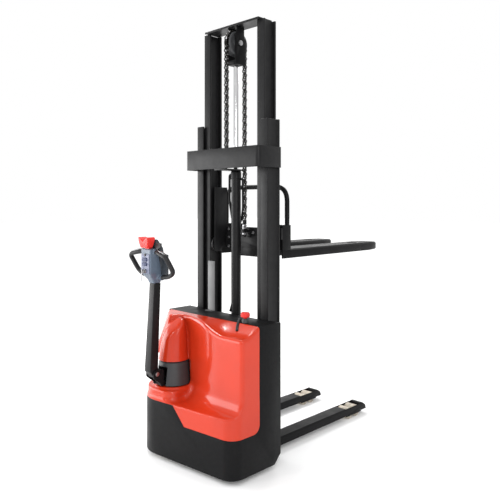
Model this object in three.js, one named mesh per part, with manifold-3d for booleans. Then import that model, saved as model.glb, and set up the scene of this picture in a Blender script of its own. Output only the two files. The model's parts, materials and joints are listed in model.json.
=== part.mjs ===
// An electric walkie stacker: a pedestrian-operated stacker truck with a two-stage mast.
// Millimetres, +Z up. +Y points along the forks, away from the operator, and +X is to the
// operator's right. The origin is on the floor under the middle of the truck.
//
// The mast is drawn lowered inside its groups, and each group stands as high as its stage is
// raised: the inner stage by RAISED, the fork carriage by twice that, as the chain drives it.

import * as THREE from "three";
import { mergeVertices } from "three/addons/utils/BufferGeometryUtils.js";
import Module from "manifold-3d";

const wasm = await Module();
wasm.setup();

// ---------------------------------------------------------------- driving dimensions

const GAP = 0.3; // clearance between pieces that touch
const RAISED = 556.5; // how far the inner stage stands above its lowest place

const HALF_WIDTH = 395; // of the chassis
const FLOOR_GAP = 30; // under the chassis and the legs
const DECK_TOP = 811;
const DECK_REAR = -508; // the line where the hood meets the deck
const CHASSIS_FRONT = -337;
const SKIRT_WALL = 8;
const SKIRT_LOW = 240; // top edge of the skirt on the right
const SKIRT_HIGH = 340; // and on the left, under the steering boss
const LEDGE = 345; // the hood's ledge
const HOOD_WALL = 4;
const WALL_Y = -640; // the recessed rear wall of the hood
const WALL_START = 60; // where that wall begins, right of the valley beside the bell
const VALLEY_Y = -575;
const VALLEY_END = -125;
const CHEEK_END_X = -262; // the far end of the hood's slanting left cheek
const CHEEK_END_Y = -612;
const PLATFORM = 404; // top of the mound that carries the steering cover
const PLATFORM_END = -75;

const STEER_X = -195;
const STEER_Y = -630;
const PIVOT_BACK = 150; // tiller pivot behind the steering axis
const PIVOT_Z = 500;
const COVER_LOW = 418;
const COVER_HIGH = 553;
const COVER_RADIUS = 100;

const MAST_REAR = -350;
const OUTER_X = 308; // outer face of the outer channels
const OUTER_DEPTH = 106;
const OUTER_TOP = 1967;
const INNER_X = 262;
const INNER_REAR = -330;
const INNER_DEPTH = 102;
const INNER_LOW = 73.5;
const INNER_HIGH = 1993.2;
const FLANGE = 12;
const STAY = 12; // web thickness

const CYLINDER_Y = -302;
const ROD_RADIUS = 15;
const PULLEY_Y = -305;
const PULLEY_Z = 1893.5;
const CHAIN_PITCH_RADIUS = 77;
const CHAIN_HALF_WIDTH = 10;
const CHAIN_HALF_THICK = 7;
const REAR_ANCHOR_Z = 1830;
const FRONT_ANCHOR_Z = 265;

const FORK_X = 200;
const FORK_WIDTH = 160;
const FORK_LOW = 37;
const FORK_HIGH = 92;
const FORK_HEEL = -190;
const FORK_FACE = -115;
const FORK_TIP = 865;

const LEG_X = 198.5;
const LEG_WIDTH = 100;
const LEG_LOW = 31;
const LEG_HIGH = 78;
const LEG_TIP = 735;
const LOAD_ROLLER_Y = [550, 630];
const LOAD_ROLLER_RADIUS = 37.5;

// ---------------------------------------------------------------- shapes

// A closed geometry as a solid that can be joined and cut.
function solid(geometry) {
  const bare = new THREE.BufferGeometry();
  bare.setAttribute("position", geometry.getAttribute("position"));
  if (geometry.index) bare.setIndex(geometry.index);
  const merged = mergeVertices(bare, 1e-4);
  return new wasm.Manifold(
    new wasm.Mesh({
      numProp: 3,
      vertProperties: merged.attributes.position.array,
      triVerts: new Uint32Array(merged.index.array),
    }),
  );
}

function join(...solids) {
  return solids.reduce((a, b) => a.add(b));
}

function cut(from, ...solids) {
  return solids.reduce((a, b) => a.subtract(b), from);
}

function block(x0, x1, y0, y1, z0, z1) {
  const box = new THREE.BoxGeometry(x1 - x0, y1 - y0, z1 - z0);
  return solid(box.translate((x0 + x1) / 2, (y0 + y1) / 2, (z0 + z1) / 2));
}

// The same block on both sides of the centre plane, as a list of two.
function mirrored(x0, x1, y0, y1, z0, z1) {
  return [block(x0, x1, y0, y1, z0, z1), block(-x1, -x0, y0, y1, z0, z1)];
}

// An outline through corners [x, y, radius], each corner rounded by its radius.
function outline(corners) {
  const shape = new THREE.Shape();
  const at = (i) => new THREE.Vector2(...corners[(i + corners.length) % corners.length]);
  corners.forEach(([x, y, radius = 0], i) => {
    const here = new THREE.Vector2(x, y);
    const move = (p) => (i ? shape.lineTo(p.x, p.y) : shape.moveTo(p.x, p.y));
    if (!radius) {
      move(here);
      return;
    }
    const back = at(i - 1).sub(here).normalize();
    const ahead = at(i + 1).sub(here).normalize();
    const half = Math.acos(back.dot(ahead)) / 2;
    const reach = radius / Math.tan(half);
    const start = here.clone().addScaledVector(back, reach);
    const end = here.clone().addScaledVector(ahead, reach);
    const middle = back.clone().add(ahead).normalize();
    const centre = here.clone().addScaledVector(middle, radius / Math.sin(half));
    const clockwise = back.cross(ahead) > 0;
    move(start);
    const from = start.sub(centre).angle();
    const to = end.sub(centre).angle();
    shape.absarc(centre.x, centre.y, radius, from, to, clockwise);
  });
  return shape;
}

const TURNS = {
  x: new THREE.Matrix4().set(0, 0, 1, 0, 1, 0, 0, 0, 0, 1, 0, 0, 0, 0, 0, 1),
  y: new THREE.Matrix4().set(1, 0, 0, 0, 0, 0, -1, 0, 0, 1, 0, 0, 0, 0, 0, 1),
  z: new THREE.Matrix4(),
};

// An outline extruded along an axis: it lies in Y,Z for x, in X,Z for y and in X,Y for z.
function prism(corners, axis, from, to, curveSegments = 4) {
  const shape = Array.isArray(corners) ? outline(corners) : corners;
  const geometry = new THREE.ExtrudeGeometry(shape, {
    depth: to - from,
    bevelEnabled: false,
    curveSegments,
  });
  geometry.translate(0, 0, axis === "y" ? -to : from);
  return solid(geometry.applyMatrix4(TURNS[axis]));
}

// A round bar along an axis, centred on the other two coordinates in X, Y, Z order.
function bar(axis, radius, from, to, p, q, sides = 24) {
  const geometry = new THREE.CylinderGeometry(radius, radius, to - from, sides);
  const middle = (from + to) / 2;
  if (axis === "x") geometry.rotateZ(-Math.PI / 2).translate(middle, p, q);
  if (axis === "y") geometry.translate(p, middle, q);
  if (axis === "z") geometry.rotateX(Math.PI / 2).translate(p, q, middle);
  return solid(geometry);
}

// A turned piece about the Z axis through x, y. The profile of [radius, z] runs upwards.
function turned(profile, x, y, sides = 32) {
  const points = profile.map(([radius, z]) => new THREE.Vector2(radius, z));
  const geometry = new THREE.LatheGeometry(points, sides);
  return solid(geometry.rotateX(Math.PI / 2).translate(x, y, 0));
}

// The same turned piece laid along X, centred on y, z.
function turnedAcross(profile, y, z, sides = 32) {
  const points = profile.map(([radius, x]) => new THREE.Vector2(radius, x));
  const geometry = new THREE.LatheGeometry(points, sides);
  return solid(geometry.rotateZ(-Math.PI / 2).translate(0, y, z));
}

// A closed body through sections of equally many points, each convex and facing the last.
function loft(sections) {
  const size = sections[0].length;
  const positions = sections.flat(2);
  const faces = [];
  for (let s = 0; s + 1 < sections.length; s++)
    for (let i = 0; i < size; i++) {
      const a = s * size + i;
      const b = s * size + ((i + 1) % size);
      faces.push(a, b, b + size, a, b + size, a + size);
    }
  const last = (sections.length - 1) * size;
  for (let i = 1; i + 1 < size; i++) {
    faces.push(0, i + 1, i);
    faces.push(last, last + i, last + i + 1);
  }
  const geometry = new THREE.BufferGeometry();
  geometry.setAttribute("position", new THREE.Float32BufferAttribute(positions, 3));
  geometry.setIndex(faces);
  return solid(geometry);
}

// A round tube along straight runs with bends of one radius.
function bentTube(points, bend, radius, sides = 10, steps = 20) {
  const corners = points.map((p) => new THREE.Vector3(...p));
  const path = new THREE.CurvePath();
  let from = corners[0];
  for (let i = 1; i + 1 < corners.length; i++) {
    const here = corners[i];
    const back = corners[i - 1].clone().sub(here).setLength(bend).add(here);
    const ahead = corners[i + 1].clone().sub(here).setLength(bend).add(here);
    path.add(new THREE.LineCurve3(from, back));
    path.add(new THREE.QuadraticBezierCurve3(back, here, ahead));
    from = ahead;
  }
  path.add(new THREE.LineCurve3(from, corners[corners.length - 1]));
  const circle = new THREE.Shape();
  for (let i = 0; i < sides; i++) {
    const turn = (i / sides) * 2 * Math.PI;
    const spot = [radius * Math.cos(turn), radius * Math.sin(turn)];
    if (i) circle.lineTo(...spot);
    else circle.moveTo(...spot);
  }
  const geometry = new THREE.ExtrudeGeometry(circle, { steps, extrudePath: path });
  return solid(geometry);
}

// ---------------------------------------------------------------- scene graph

const LOOKS = {
  blackPaint: { color: 0x1c1c1d, roughness: 0.45, metalness: 0.1 },
  redHood: { color: 0xe8452f, roughness: 0.25, metalness: 0 },
  darkPlastic: { color: 0x3c3d3f, roughness: 0.6, metalness: 0 },
  greyPlastic: { color: 0x6e7d90, roughness: 0.5, metalness: 0 },
  palePlastic: { color: 0xb9bed4, roughness: 0.45, metalness: 0 },
  redPlastic: { color: 0xd23a36, roughness: 0.35, metalness: 0 },
  rubber: { color: 0x151515, roughness: 0.8, metalness: 0 },
  polyurethane: { color: 0xc8beaf, roughness: 0.5, metalness: 0 },
  chrome: { color: 0xd6d8db, roughness: 0.1, metalness: 1 },
  steel: { color: 0x8d9094, roughness: 0.4, metalness: 0.9 },
  castIron: { color: 0x303133, roughness: 0.7, metalness: 0.4 },
  chainSteel: { color: 0x2b2a28, roughness: 0.5, metalness: 0.8 },
};

const truck = new THREE.Group();
truck.name = "walkie_stacker";
const steering = new THREE.Group();
steering.position.set(STEER_X, STEER_Y, 0);
const innerMast = new THREE.Group();
innerMast.position.z = RAISED;
const carriage = new THREE.Group();
carriage.position.z = RAISED; // twice the raise, because it hangs in the inner stage's group
truck.add(steering, innerMast);
innerMast.add(carriage);

function add(group, name, body, look) {
  const made = body.getMesh();
  const geometry = new THREE.BufferGeometry();
  geometry.setAttribute("position", new THREE.BufferAttribute(made.vertProperties, 3));
  geometry.setIndex(new THREE.BufferAttribute(made.triVerts, 1));
  geometry.computeVertexNormals();
  const mesh = new THREE.Mesh(geometry, new THREE.MeshStandardMaterial(LOOKS[look]));
  mesh.name = name;
  group.add(mesh);
  return mesh;
}

const SIDES = { left: -1, right: 1 };

// ---------------------------------------------------------------- chassis and hood

// The plan of the chassis, moved inwards by an inset, with its front edge at y front.
function chassisPlan(inset, front) {
  const x = HALF_WIDTH - inset;
  return [
    [-x, front],
    [-x, -785 + inset, 180 - inset],
    [x, -710 + inset, 80 - inset],
    [x, front],
  ];
}

// The space that belongs to the hood, above the skirt's stepped top edge and behind the deck.
function hoodZone(grow) {
  const low = SKIRT_LOW - grow;
  const high = SKIRT_HIGH - grow;
  const front = DECK_REAR + grow;
  const far = HALF_WIDTH + 20;
  const fromBehind = [
    [-far, high],
    [-50, high],
    [40, low],
    [far, low],
    [far, 900],
    [-far, 900],
  ];
  const fromSide = [
    [-900, low],
    [front, low, 45],
    [front, 900],
    [-900, 900],
  ];
  return prism(fromBehind, "y", -900, front).intersect(prism(fromSide, "x", -far, far));
}

function chassisFrame() {
  const shell = cut(
    prism(chassisPlan(0, CHASSIS_FRONT), "z", FLOOR_GAP, DECK_TOP, 7),
    prism(chassisPlan(SKIRT_WALL, CHASSIS_FRONT + 60), "z", 0, 900, 7),
    hoodZone(GAP),
  );
  const inside = prism(chassisPlan(SKIRT_WALL - 2, CHASSIS_FRONT), "z", 0, 900, 7);
  const bulkhead = block(-390, 390, -366, -358, 60, 796);
  const batteryShelf = block(-390, 390, -500, -360, 150, 156);
  const drivePlate = cut(
    block(-400, -50, -900, -500, 262, 270),
    bar("z", 82, 250, 280, STEER_X, STEER_Y, 40),
  ).intersect(inside);
  const castorPlate = block(20, 400, -900, -497, 156, 164).intersect(inside);
  const web = block(-20, -12, -745, -498, 150, 240);
  const webArm = block(-60, 24, -745, -498, 154, 164);
  const riser = block(-58, -50, -745, -498, 154, 270);
  const cornerCut = prism(
    [
      [CHASSIS_FRONT - 50, 0],
      [CHASSIS_FRONT + 10, 0],
      [CHASSIS_FRONT + 10, FLOOR_GAP + 60],
      [CHASSIS_FRONT, FLOOR_GAP + 50],
      [CHASSIS_FRONT - 50, FLOOR_GAP],
    ],
    "x",
    -450,
    450,
  );
  const braces = join(web, webArm, riser);
  return cut(
    join(shell, bulkhead, batteryShelf, drivePlate, castorPlate, braces),
    cornerCut,
  );
}

function topDeck() {
  const x = HALF_WIDTH - SKIRT_WALL - 0.5;
  const notch = OUTER_X + 4;
  const front = CHASSIS_FRONT - 1;
  const plan = [
    [-x, DECK_REAR + 0.5],
    [x, DECK_REAR + 0.5],
    [x, front],
    [notch, front],
    [notch, -354],
    [-notch, -354],
    [-notch, front],
    [-x, front],
  ];
  return prism(plan, "z", DECK_TOP - 8, DECK_TOP);
}

// What is above the hood's sloping top. The slope drops more towards the right.
function aboveSlope(lower) {
  const stations = [
    [-420, 4],
    [-120, 4],
    [40, 16],
    [150, 36],
    [230, 54],
    [420, 56],
  ];
  const front = DECK_REAR + 40;
  const level = DECK_TOP - lower;
  return loft(
    stations.map(([x, drop]) => {
      const fall = drop / (DECK_REAR - WALL_Y);
      return [
        [x, front, 1000],
        [x, WALL_Y - 120, 1000],
        [x, WALL_Y - 120, level - fall * (DECK_REAR - WALL_Y + 120)],
        [x, DECK_REAR, level],
        [x, front, level + 20],
      ];
    }),
  );
}

// Where the hood's slanting left cheek is at y. It runs from the deck's corner into the bell.
function cheekX(inset, y) {
  const run = CHEEK_END_X + HALF_WIDTH;
  const rise = CHEEK_END_Y - DECK_REAR;
  const shift = inset * Math.hypot(run / rise, 1);
  return -HALF_WIDTH + (run / rise) * (y - DECK_REAR) + shift;
}

// The hood's solid form, moved inwards by an inset: the band, the recessed body, the platform
// and boss under the steering cover, and the bell above it.
function hoodForm(inset) {
  const x = HALF_WIDTH - inset;
  const reach = inset ? 40 : 0; // the inner form runs out through the open front and bottom
  const low = SKIRT_LOW - 2 * reach;
  const band = prism(chassisPlan(inset, DECK_REAR + reach), "z", low, LEDGE - inset, 7);
  const wall = [
    [cheekX(inset, DECK_REAR + reach), DECK_REAR + reach],
    [cheekX(inset, VALLEY_Y + inset), VALLEY_Y + inset],
    [VALLEY_END, VALLEY_Y + inset, 60],
    [WALL_START, WALL_Y + inset, 120],
    [x, WALL_Y + inset, 18],
    [x, DECK_REAR + reach],
  ];
  const body = cut(prism(wall, "z", LEDGE - 40, 850, 6), aboveSlope(inset));
  const platform = prism(chassisPlan(inset + 8, DECK_REAR + reach), "z", LEDGE - 40, PLATFORM - inset, 7)
    .intersect(block(-HALF_WIDTH, PLATFORM_END - inset, -900, DECK_REAR + reach, 0, 900));
  const bossProfile = [
    [0, LEDGE - 40],
    [120 - inset, LEDGE - 40],
    [120 - inset, LEDGE - inset],
    [109 - inset, 380],
    [107 - inset, COVER_LOW - 4 - inset],
    [0, COVER_LOW - 4 - inset],
  ];
  const boss = turned(bossProfile, STEER_X, STEER_Y);
  const bellProfile = [
    [0, COVER_HIGH + 4 + inset],
    [89 - inset, COVER_HIGH + 4 + inset],
    [84 - inset, 640],
    [70 - inset, 710],
    [48 - inset, 775],
    [24 - inset, 800 - inset],
    [0, 804 - inset],
  ];
  const bell = turned(bellProfile, STEER_X + 6, STEER_Y);
  return join(band, body, platform, boss, bell);
}

function rearHood() {
  const pocket = bar("z", COVER_RADIUS + 5, COVER_LOW - 4, COVER_HIGH + 4, STEER_X, STEER_Y, 48);
  const motorHole = bar("z", 82, 300, COVER_LOW, STEER_X, STEER_Y, 40);
  return cut(hoodForm(0).intersect(hoodZone(0)), hoodForm(HOOD_WALL), pocket, motorHole);
}

add(truck, "chassis_frame", chassisFrame(), "blackPaint");
add(truck, "top_deck", topDeck(), "blackPaint");
add(truck, "rear_hood", rearHood(), "redHood");

const guard = join(
  block(-185, -122, -368, -365, DECK_TOP + GAP, 1120),
  block(-185, -122, -392, -365, DECK_TOP + GAP, DECK_TOP + 4),
);
add(truck, "hose_guard", guard, "palePlastic");

// Inside the chassis: battery, pump with its tank, and the controller on top of the battery.
add(truck, "battery_pack", block(-40, 375, -496, -372, 157, 400), "darkPlastic");
const tank = join(
  block(-375, -60, -496, -372, 157, 420),
  bar("z", 52, 420, 610, -300, -434),
  bar("z", 30, 420, 470, -150, -434, 20),
);
add(truck, "hydraulic_unit", tank, "castIron");
const fins = [];
for (let i = 0; i < 8; i++) {
  const x = 60 + i * 26;
  fins.push(block(x, x + 8, -480, -388, 440, 465));
}
const controller = join(block(50, 260, -490, -380, 401, 441), ...fins);
add(truck, "motor_controller", controller, "steel");

// ---------------------------------------------------------------- steered drive unit

const WHEEL_RADIUS = 105;
const WHEEL_HALF = 35;

function driveWheel() {
  const profile = [
    [0, -WHEEL_HALF + 6],
    [70, -WHEEL_HALF + 6],
    [78, -WHEEL_HALF],
    [WHEEL_RADIUS - 5, -WHEEL_HALF],
    [WHEEL_RADIUS, -WHEEL_HALF + 5],
    [WHEEL_RADIUS, WHEEL_HALF - 5],
    [WHEEL_RADIUS - 5, WHEEL_HALF],
    [78, WHEEL_HALF],
    [70, WHEEL_HALF - 6],
    [0, WHEEL_HALF - 6],
  ];
  const bore = bar("x", 15.3, -50, 50, 0, WHEEL_RADIUS, 24);
  return cut(turnedAcross(profile, 0, WHEEL_RADIUS, 40), bore);
}

function driveGearbox() {
  const side = [
    [-55, WHEEL_RADIUS - 50, 40],
    [55, WHEEL_RADIUS - 50, 40],
    [55, 236],
    [-55, 236],
  ];
  return join(
    prism(side, "x", 42, 80),
    bar("z", 94, 232, 262 - GAP, 0, 0, 40),
    bar("x", 15, -34, 44, 0, WHEEL_RADIUS, 24),
  );
}

function tillerBase() {
  const y = -PIVOT_BACK;
  const ears = prism(
    [
      [y + 50, 424],
      [y + 50, PIVOT_Z + 14, 8],
      [y + 14, PIVOT_Z + 22, 12],
      [y - 22, PIVOT_Z + 22, 20],
      [y - 22, PIVOT_Z - 22, 20],
      [y + 26, 440, 10],
      [y + 32, 424],
    ],
    "x",
    -38,
    38,
  );
  const fork = cut(
    ears,
    block(-29, 29, y - 60, y + 37, 400, 600),
    bar("x", 7.3, -60, 60, y, PIVOT_Z, 24),
  );
  const neck = block(-30, 30, y + 38, -20, 424, 448);
  const hub = bar("z", 60, 412, 430, 0, 0);
  return join(hub, neck, fork);
}

function steeringCover() {
  const wall = 4;
  const top = COVER_RADIUS - 15;
  const outer = [
    [0, COVER_LOW],
    [COVER_RADIUS, COVER_LOW],
    [top + 2, COVER_HIGH - 8],
    [top - 6, COVER_HIGH],
    [0, COVER_HIGH],
  ];
  const inner = [
    [0, COVER_LOW - 10],
    [COVER_RADIUS - wall, COVER_LOW - 10],
    [COVER_RADIUS - wall, COVER_LOW],
    [top - wall, COVER_HIGH - 8 - wall],
    [0, COVER_HIGH - 8 - wall],
  ];
  const slot = block(-42, 42, -COVER_RADIUS - 20, -60, COVER_LOW - 10, PIVOT_Z + 26);
  return cut(turned(outer, 0, 0, 48), turned(inner, 0, 0, 48), slot);
}

const pin = join(
  bar("x", 7, -46, 46, -PIVOT_BACK, PIVOT_Z, 24),
  bar("x", 12, -45, -38 - GAP, -PIVOT_BACK, PIVOT_Z, 24),
  bar("x", 12, 38 + GAP, 45, -PIVOT_BACK, PIVOT_Z, 24),
);
const motor = join(
  bar("z", 75, 262, 400, 0, 0, 40),
  bar("z", 58, 399, 412 - GAP, 0, 0, 40),
);
add(steering, "drive_wheel", driveWheel(), "polyurethane");
add(steering, "drive_gearbox", driveGearbox(), "castIron");
add(steering, "drive_motor", motor, "castIron");
add(steering, "tiller_base", tillerBase(), "blackPaint");
add(steering, "steering_cover", steeringCover(), "darkPlastic");
add(steering, "tiller_pin", pin, "steel");

// ---------------------------------------------------------------- tiller

// The tiller is drawn about the middle of its head: x across, y and z from the steering axis.
const ARM_TOP = 1017;
const HEAD_LOW = ARM_TOP + 1;
const HEAD_HIGH = 1218;
const HEAD_HALF = 48;
const PANEL_Y = -202; // rear face of the head
const THROTTLE_Y = -165;
const THROTTLE_Z = 1207;

function tillerArm() {
  const section = (z, y, halfX, halfY) => [
    [-halfX, y - halfY, z],
    [halfX, y - halfY, z],
    [halfX, y + halfY, z],
    [-halfX, y + halfY, z],
  ];
  const tube = loft([
    section(PIVOT_Z - 26, -162, 27.5, 27),
    section(PIVOT_Z + 40, -161, 27.5, 27),
    section(ARM_TOP, -135, 22.5, 22.5),
  ]);
  const lowCorner = prism(
    [
      [-230, 440],
      [-150, 440],
      [-150, PIVOT_Z - 24],
      [-165, PIVOT_Z - 20],
      [-192, PIVOT_Z + 22],
      [-230, PIVOT_Z + 22],
    ],
    "x",
    -40,
    40,
  );
  return cut(tube, lowCorner, bar("x", 7.3, -60, 60, -PIVOT_BACK, PIVOT_Z, 24));
}

// One shallow pocket for a button, opening through the head's rear face.
function pocket(half, low, high) {
  return block(-half, half, PANEL_Y - 10, PANEL_Y + 7, low, high);
}

const BUTTONS = {
  raise_button: [1148, 1166],
  lower_button: [1122, 1140],
};
const HORN_Z = 1184;
const KEY_Z = 1092;

function tillerHead() {
  const side = [
    [-160, HEAD_LOW],
    [-112, HEAD_LOW],
    [-115, 1060, 30],
    [-127, 1130, 30],
    [-150, HEAD_HIGH, 14],
    [PANEL_Y - 9, HEAD_HIGH, 10],
    [PANEL_Y, 1190, 12],
    [PANEL_Y, 1076, 14],
    [-172, 1040, 14],
  ];
  const body = prism(side, "x", -HEAD_HALF, HEAD_HALF, 4);
  const buttonPockets = Object.values(BUTTONS).map(([low, high]) =>
    pocket(17, low - 1, high + 1),
  );
  return cut(
    body,
    ...buttonPockets,
    bar("y", 8, PANEL_Y - 10, PANEL_Y + 7, 0, HORN_Z, 20),
    bar("y", 6.6, PANEL_Y - 10, PANEL_Y + 8, 0, KEY_Z, 20),
    bar("x", 6.3, -60, 60, THROTTLE_Y, THROTTLE_Z, 20),
    block(-22, 22, PANEL_Y + 8, THROTTLE_Y - 8, 1192, HEAD_HIGH + 2),
  );
}

function headPanel() {
  const back = PANEL_Y - GAP;
  const plate = prism(
    [
      [-38, 1078, 6],
      [38, 1078, 6],
      [38, 1188, 6],
      [-38, 1188, 6],
    ],
    "y",
    back - 3,
    back,
  );
  const windows = Object.values(BUTTONS).map(([low, high]) => pocket(17, low - 1, high + 1));
  return cut(
    plate,
    ...windows,
    bar("y", 8, PANEL_Y - 10, PANEL_Y + 7, 0, HORN_Z, 20),
    bar("y", 6.6, PANEL_Y - 10, PANEL_Y + 8, 0, KEY_Z, 20),
  );
}

// A closed hand grip: out from the head's shoulder, down, and back in below.
function grip(side) {
  const inner = side * (HEAD_HALF - 20);
  const outer = side * 171;
  const points = [
    [inner, -189, 1189],
    [outer, -193, 1178],
    [outer, -138, 1092],
    [inner, -146, 1054],
  ];
  const face = HEAD_HALF + GAP;
  return cut(bentTube(points, 34, 16.5), block(-face, face, -300, 0, 1000, 1300));
}

function bellyButton() {
  const cap = prism(
    [
      [-224, HEAD_HIGH + 6, 6],
      [-166, HEAD_HIGH + 6, 6],
      [-172, 1288, 12],
      [-220, 1280, 12],
    ],
    "x",
    -46,
    46,
  );
  const notch = prism(
    [
      [-7, 1300],
      [-3, 1276, 3],
      [3, 1276, 3],
      [7, 1300],
    ],
    "y",
    -300,
    -100,
  );
  const stem = block(-20, 20, PANEL_Y + 10, THROTTLE_Y - 10, 1202, HEAD_HIGH + 8);
  return join(cut(cap, notch), stem);
}

function throttle() {
  const wing = (side) => {
    const x = [side * 50, side * 96].sort((a, b) => a - b);
    const paddle = [
      [THROTTLE_Y - 8, THROTTLE_Z - 6, 4],
      [THROTTLE_Y + 8, THROTTLE_Z - 6, 4],
      [THROTTLE_Y + 5, THROTTLE_Z + 46, 4],
      [THROTTLE_Y - 5, THROTTLE_Z + 46, 4],
    ];
    const corner = [
      [side * 120, THROTTLE_Z - 20],
      [side * 70, THROTTLE_Z - 20],
      [side * 66, THROTTLE_Z + 6],
      [side * 92, THROTTLE_Z + 22],
      [side * 120, THROTTLE_Z + 24],
    ];
    const plan = side > 0 ? corner.reverse() : corner;
    return cut(prism(paddle, "x", x[0], x[1], 3), prism(plan, "y", -250, -100));
  };
  return join(bar("x", 6, -54, 54, THROTTLE_Y, THROTTLE_Z, 20), wing(-1), wing(1));
}

add(steering, "tiller_arm", tillerArm(), "blackPaint");
add(steering, "tiller_head", tillerHead(), "greyPlastic");
add(steering, "head_panel", headPanel(), "palePlastic");
add(steering, "grip_left", grip(-1), "rubber");
add(steering, "grip_right", grip(1), "rubber");
add(steering, "belly_button", bellyButton(), "redPlastic");
add(steering, "throttle", throttle(), "darkPlastic");
const panelFront = PANEL_Y - GAP - 3;
for (const [name, [low, high]] of Object.entries(BUTTONS))
  add(steering, name, block(-16, 16, panelFront - 4, PANEL_Y + 3, low, high), "darkPlastic");
const horn = bar("y", 7, panelFront - 3.5, PANEL_Y + 3, 0, HORN_Z, 20);
add(steering, "horn_button", horn, "darkPlastic");
const keySwitch = cut(
  bar("y", 12, panelFront - 8, panelFront - GAP, 0, KEY_Z, 24),
  bar("y", 6.6, panelFront - 12, panelFront + 2, 0, KEY_Z, 20),
);
add(steering, "key_switch", keySwitch, "steel");
const key = join(
  bar("y", 6, panelFront - 10, PANEL_Y + 5, 0, KEY_Z, 20),
  block(-1.5, 1.5, panelFront - 26, panelFront - 9, KEY_Z - 11, KEY_Z + 11),
);
add(steering, "key", key, "steel");

// ---------------------------------------------------------------- castor and controls

const CASTOR_X = 215;
const CASTOR_Y = -590;
const CASTOR_RADIUS = 62.5;
const CASTOR_TRAIL = 34;
const castor = new THREE.Group();
castor.position.set(CASTOR_X, CASTOR_Y, 0);
truck.add(castor);

const castorFork = join(
  bar("z", 45, 144, 156 - GAP, 0, 0),
  block(-38, 38, -30, 70, 136, 145),
  ...mirrored(30, 38, 12, 56, 42, 140),
  bar("x", 7, -36, 36, CASTOR_TRAIL, CASTOR_RADIUS, 24),
);
add(castor, "castor_fork", castorFork, "steel");
const castorProfile = [
  [0, -25],
  [CASTOR_RADIUS - 5, -25],
  [CASTOR_RADIUS, -20],
  [CASTOR_RADIUS, 20],
  [CASTOR_RADIUS - 5, 25],
  [0, 25],
];
const castorWheel = cut(
  turnedAcross(castorProfile, CASTOR_TRAIL, CASTOR_RADIUS),
  bar("x", 7.3, -40, 40, CASTOR_TRAIL, CASTOR_RADIUS, 24),
);
add(castor, "castor_wheel", castorWheel, "polyurethane");

const STOP_X = 262;
const STOP_Y = -484;
const deckFace = DECK_TOP + GAP;
const collar = cut(
  turned(
    [
      [0, deckFace],
      [21, deckFace],
      [21, deckFace + 6],
      [16, deckFace + 24],
      [0, deckFace + 24],
    ],
    STOP_X,
    STOP_Y,
    28,
  ),
  bar("z", 9.5, deckFace + 4, deckFace + 40, STOP_X, STOP_Y, 24),
);
const stopProfile = [
  [0, deckFace + 12],
  [9, deckFace + 12],
  [9, deckFace + 34],
  [19, deckFace + 34],
  [26, deckFace + 43],
  [26, deckFace + 50],
  [20, deckFace + 58],
  [0, deckFace + 60],
];
add(truck, "stop_collar", collar, "darkPlastic");
add(truck, "stop_button", turned(stopProfile, STOP_X, STOP_Y, 20), "redPlastic");
const latch = join(
  bar("z", 11, deckFace, deckFace + 10, 222, -490, 24),
  block(215, 229, -494, -486, deckFace + 9, deckFace + 20),
);
add(truck, "hood_latch", latch, "darkPlastic");

// ---------------------------------------------------------------- outer mast

const baseFront = MAST_REAR + OUTER_DEPTH;
const MAST_BASE_TOP = 55;
const mastBase = block(-OUTER_X, OUTER_X, -357.7, baseFront, FLOOR_GAP, MAST_BASE_TOP);
add(truck, "mast_base", mastBase, "blackPaint");

function channel(side, outerX, rear, depth, low, high, width, webX) {
  const x = [side * (outerX - width), side * outerX].sort((a, b) => a - b);
  const web = [side * webX, side * (webX + STAY)].sort((a, b) => a - b);
  return join(
    block(x[0], x[1], rear, rear + FLANGE, low, high),
    block(x[0], x[1], rear + depth - FLANGE, rear + depth, low, high),
    block(web[0], web[1], rear + 1, rear + depth - 1, low, high),
  );
}

for (const [name, side] of Object.entries(SIDES)) {
  const low = MAST_BASE_TOP + GAP;
  const body = channel(side, OUTER_X, MAST_REAR, OUTER_DEPTH, low, OUTER_TOP, 58, 286);
  add(truck, `outer_channel_${name}`, body, "blackPaint");
}

const BEAM_LOW = 1685;
const BEAM_HIGH = 1805;
const BEAM_REAR = -438;
function crossbeam() {
  const plate = 10;
  const outerX = OUTER_X + GAP + plate;
  const plan = (inset, front) => [
    [-outerX + inset, front],
    [-outerX + inset, BEAM_REAR + inset, 24 - inset],
    [outerX - inset, BEAM_REAR + inset, 24 - inset],
    [outerX - inset, front],
  ];
  const bent = cut(
    prism(plan(0, baseFront - 4), "z", BEAM_LOW, BEAM_HIGH),
    prism(plan(plate, baseFront + 40), "z", BEAM_LOW - 10, BEAM_HIGH + 10),
  );
  const clamp = cut(
    block(-50, 50, BEAM_REAR + 5, CYLINDER_Y + 40, BEAM_LOW - 9, BEAM_LOW - 1),
    bar("z", ROD_RADIUS + 2, BEAM_LOW - 20, BEAM_LOW + 20, 0, CYLINDER_Y, 20),
  );
  const clampWeb = block(-50, 50, BEAM_REAR + 2, BEAM_REAR + 14, BEAM_LOW - 9, BEAM_LOW + 20);
  const anchorY = PULLEY_Y - CHAIN_PITCH_RADIUS;
  const anchor = join(
    block(-22, 22, BEAM_REAR + 6, anchorY + 14, 1746, 1764),
    bar("z", 8, 1730, 1806, 0, anchorY, 20),
    block(-11, 11, anchorY - 7, anchorY + 7, 1800, REAR_ANCHOR_Z - GAP),
  );
  return join(bent, clamp, clampWeb, anchor);
}
add(truck, "crossbeam", crossbeam(), "blackPaint");

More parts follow.
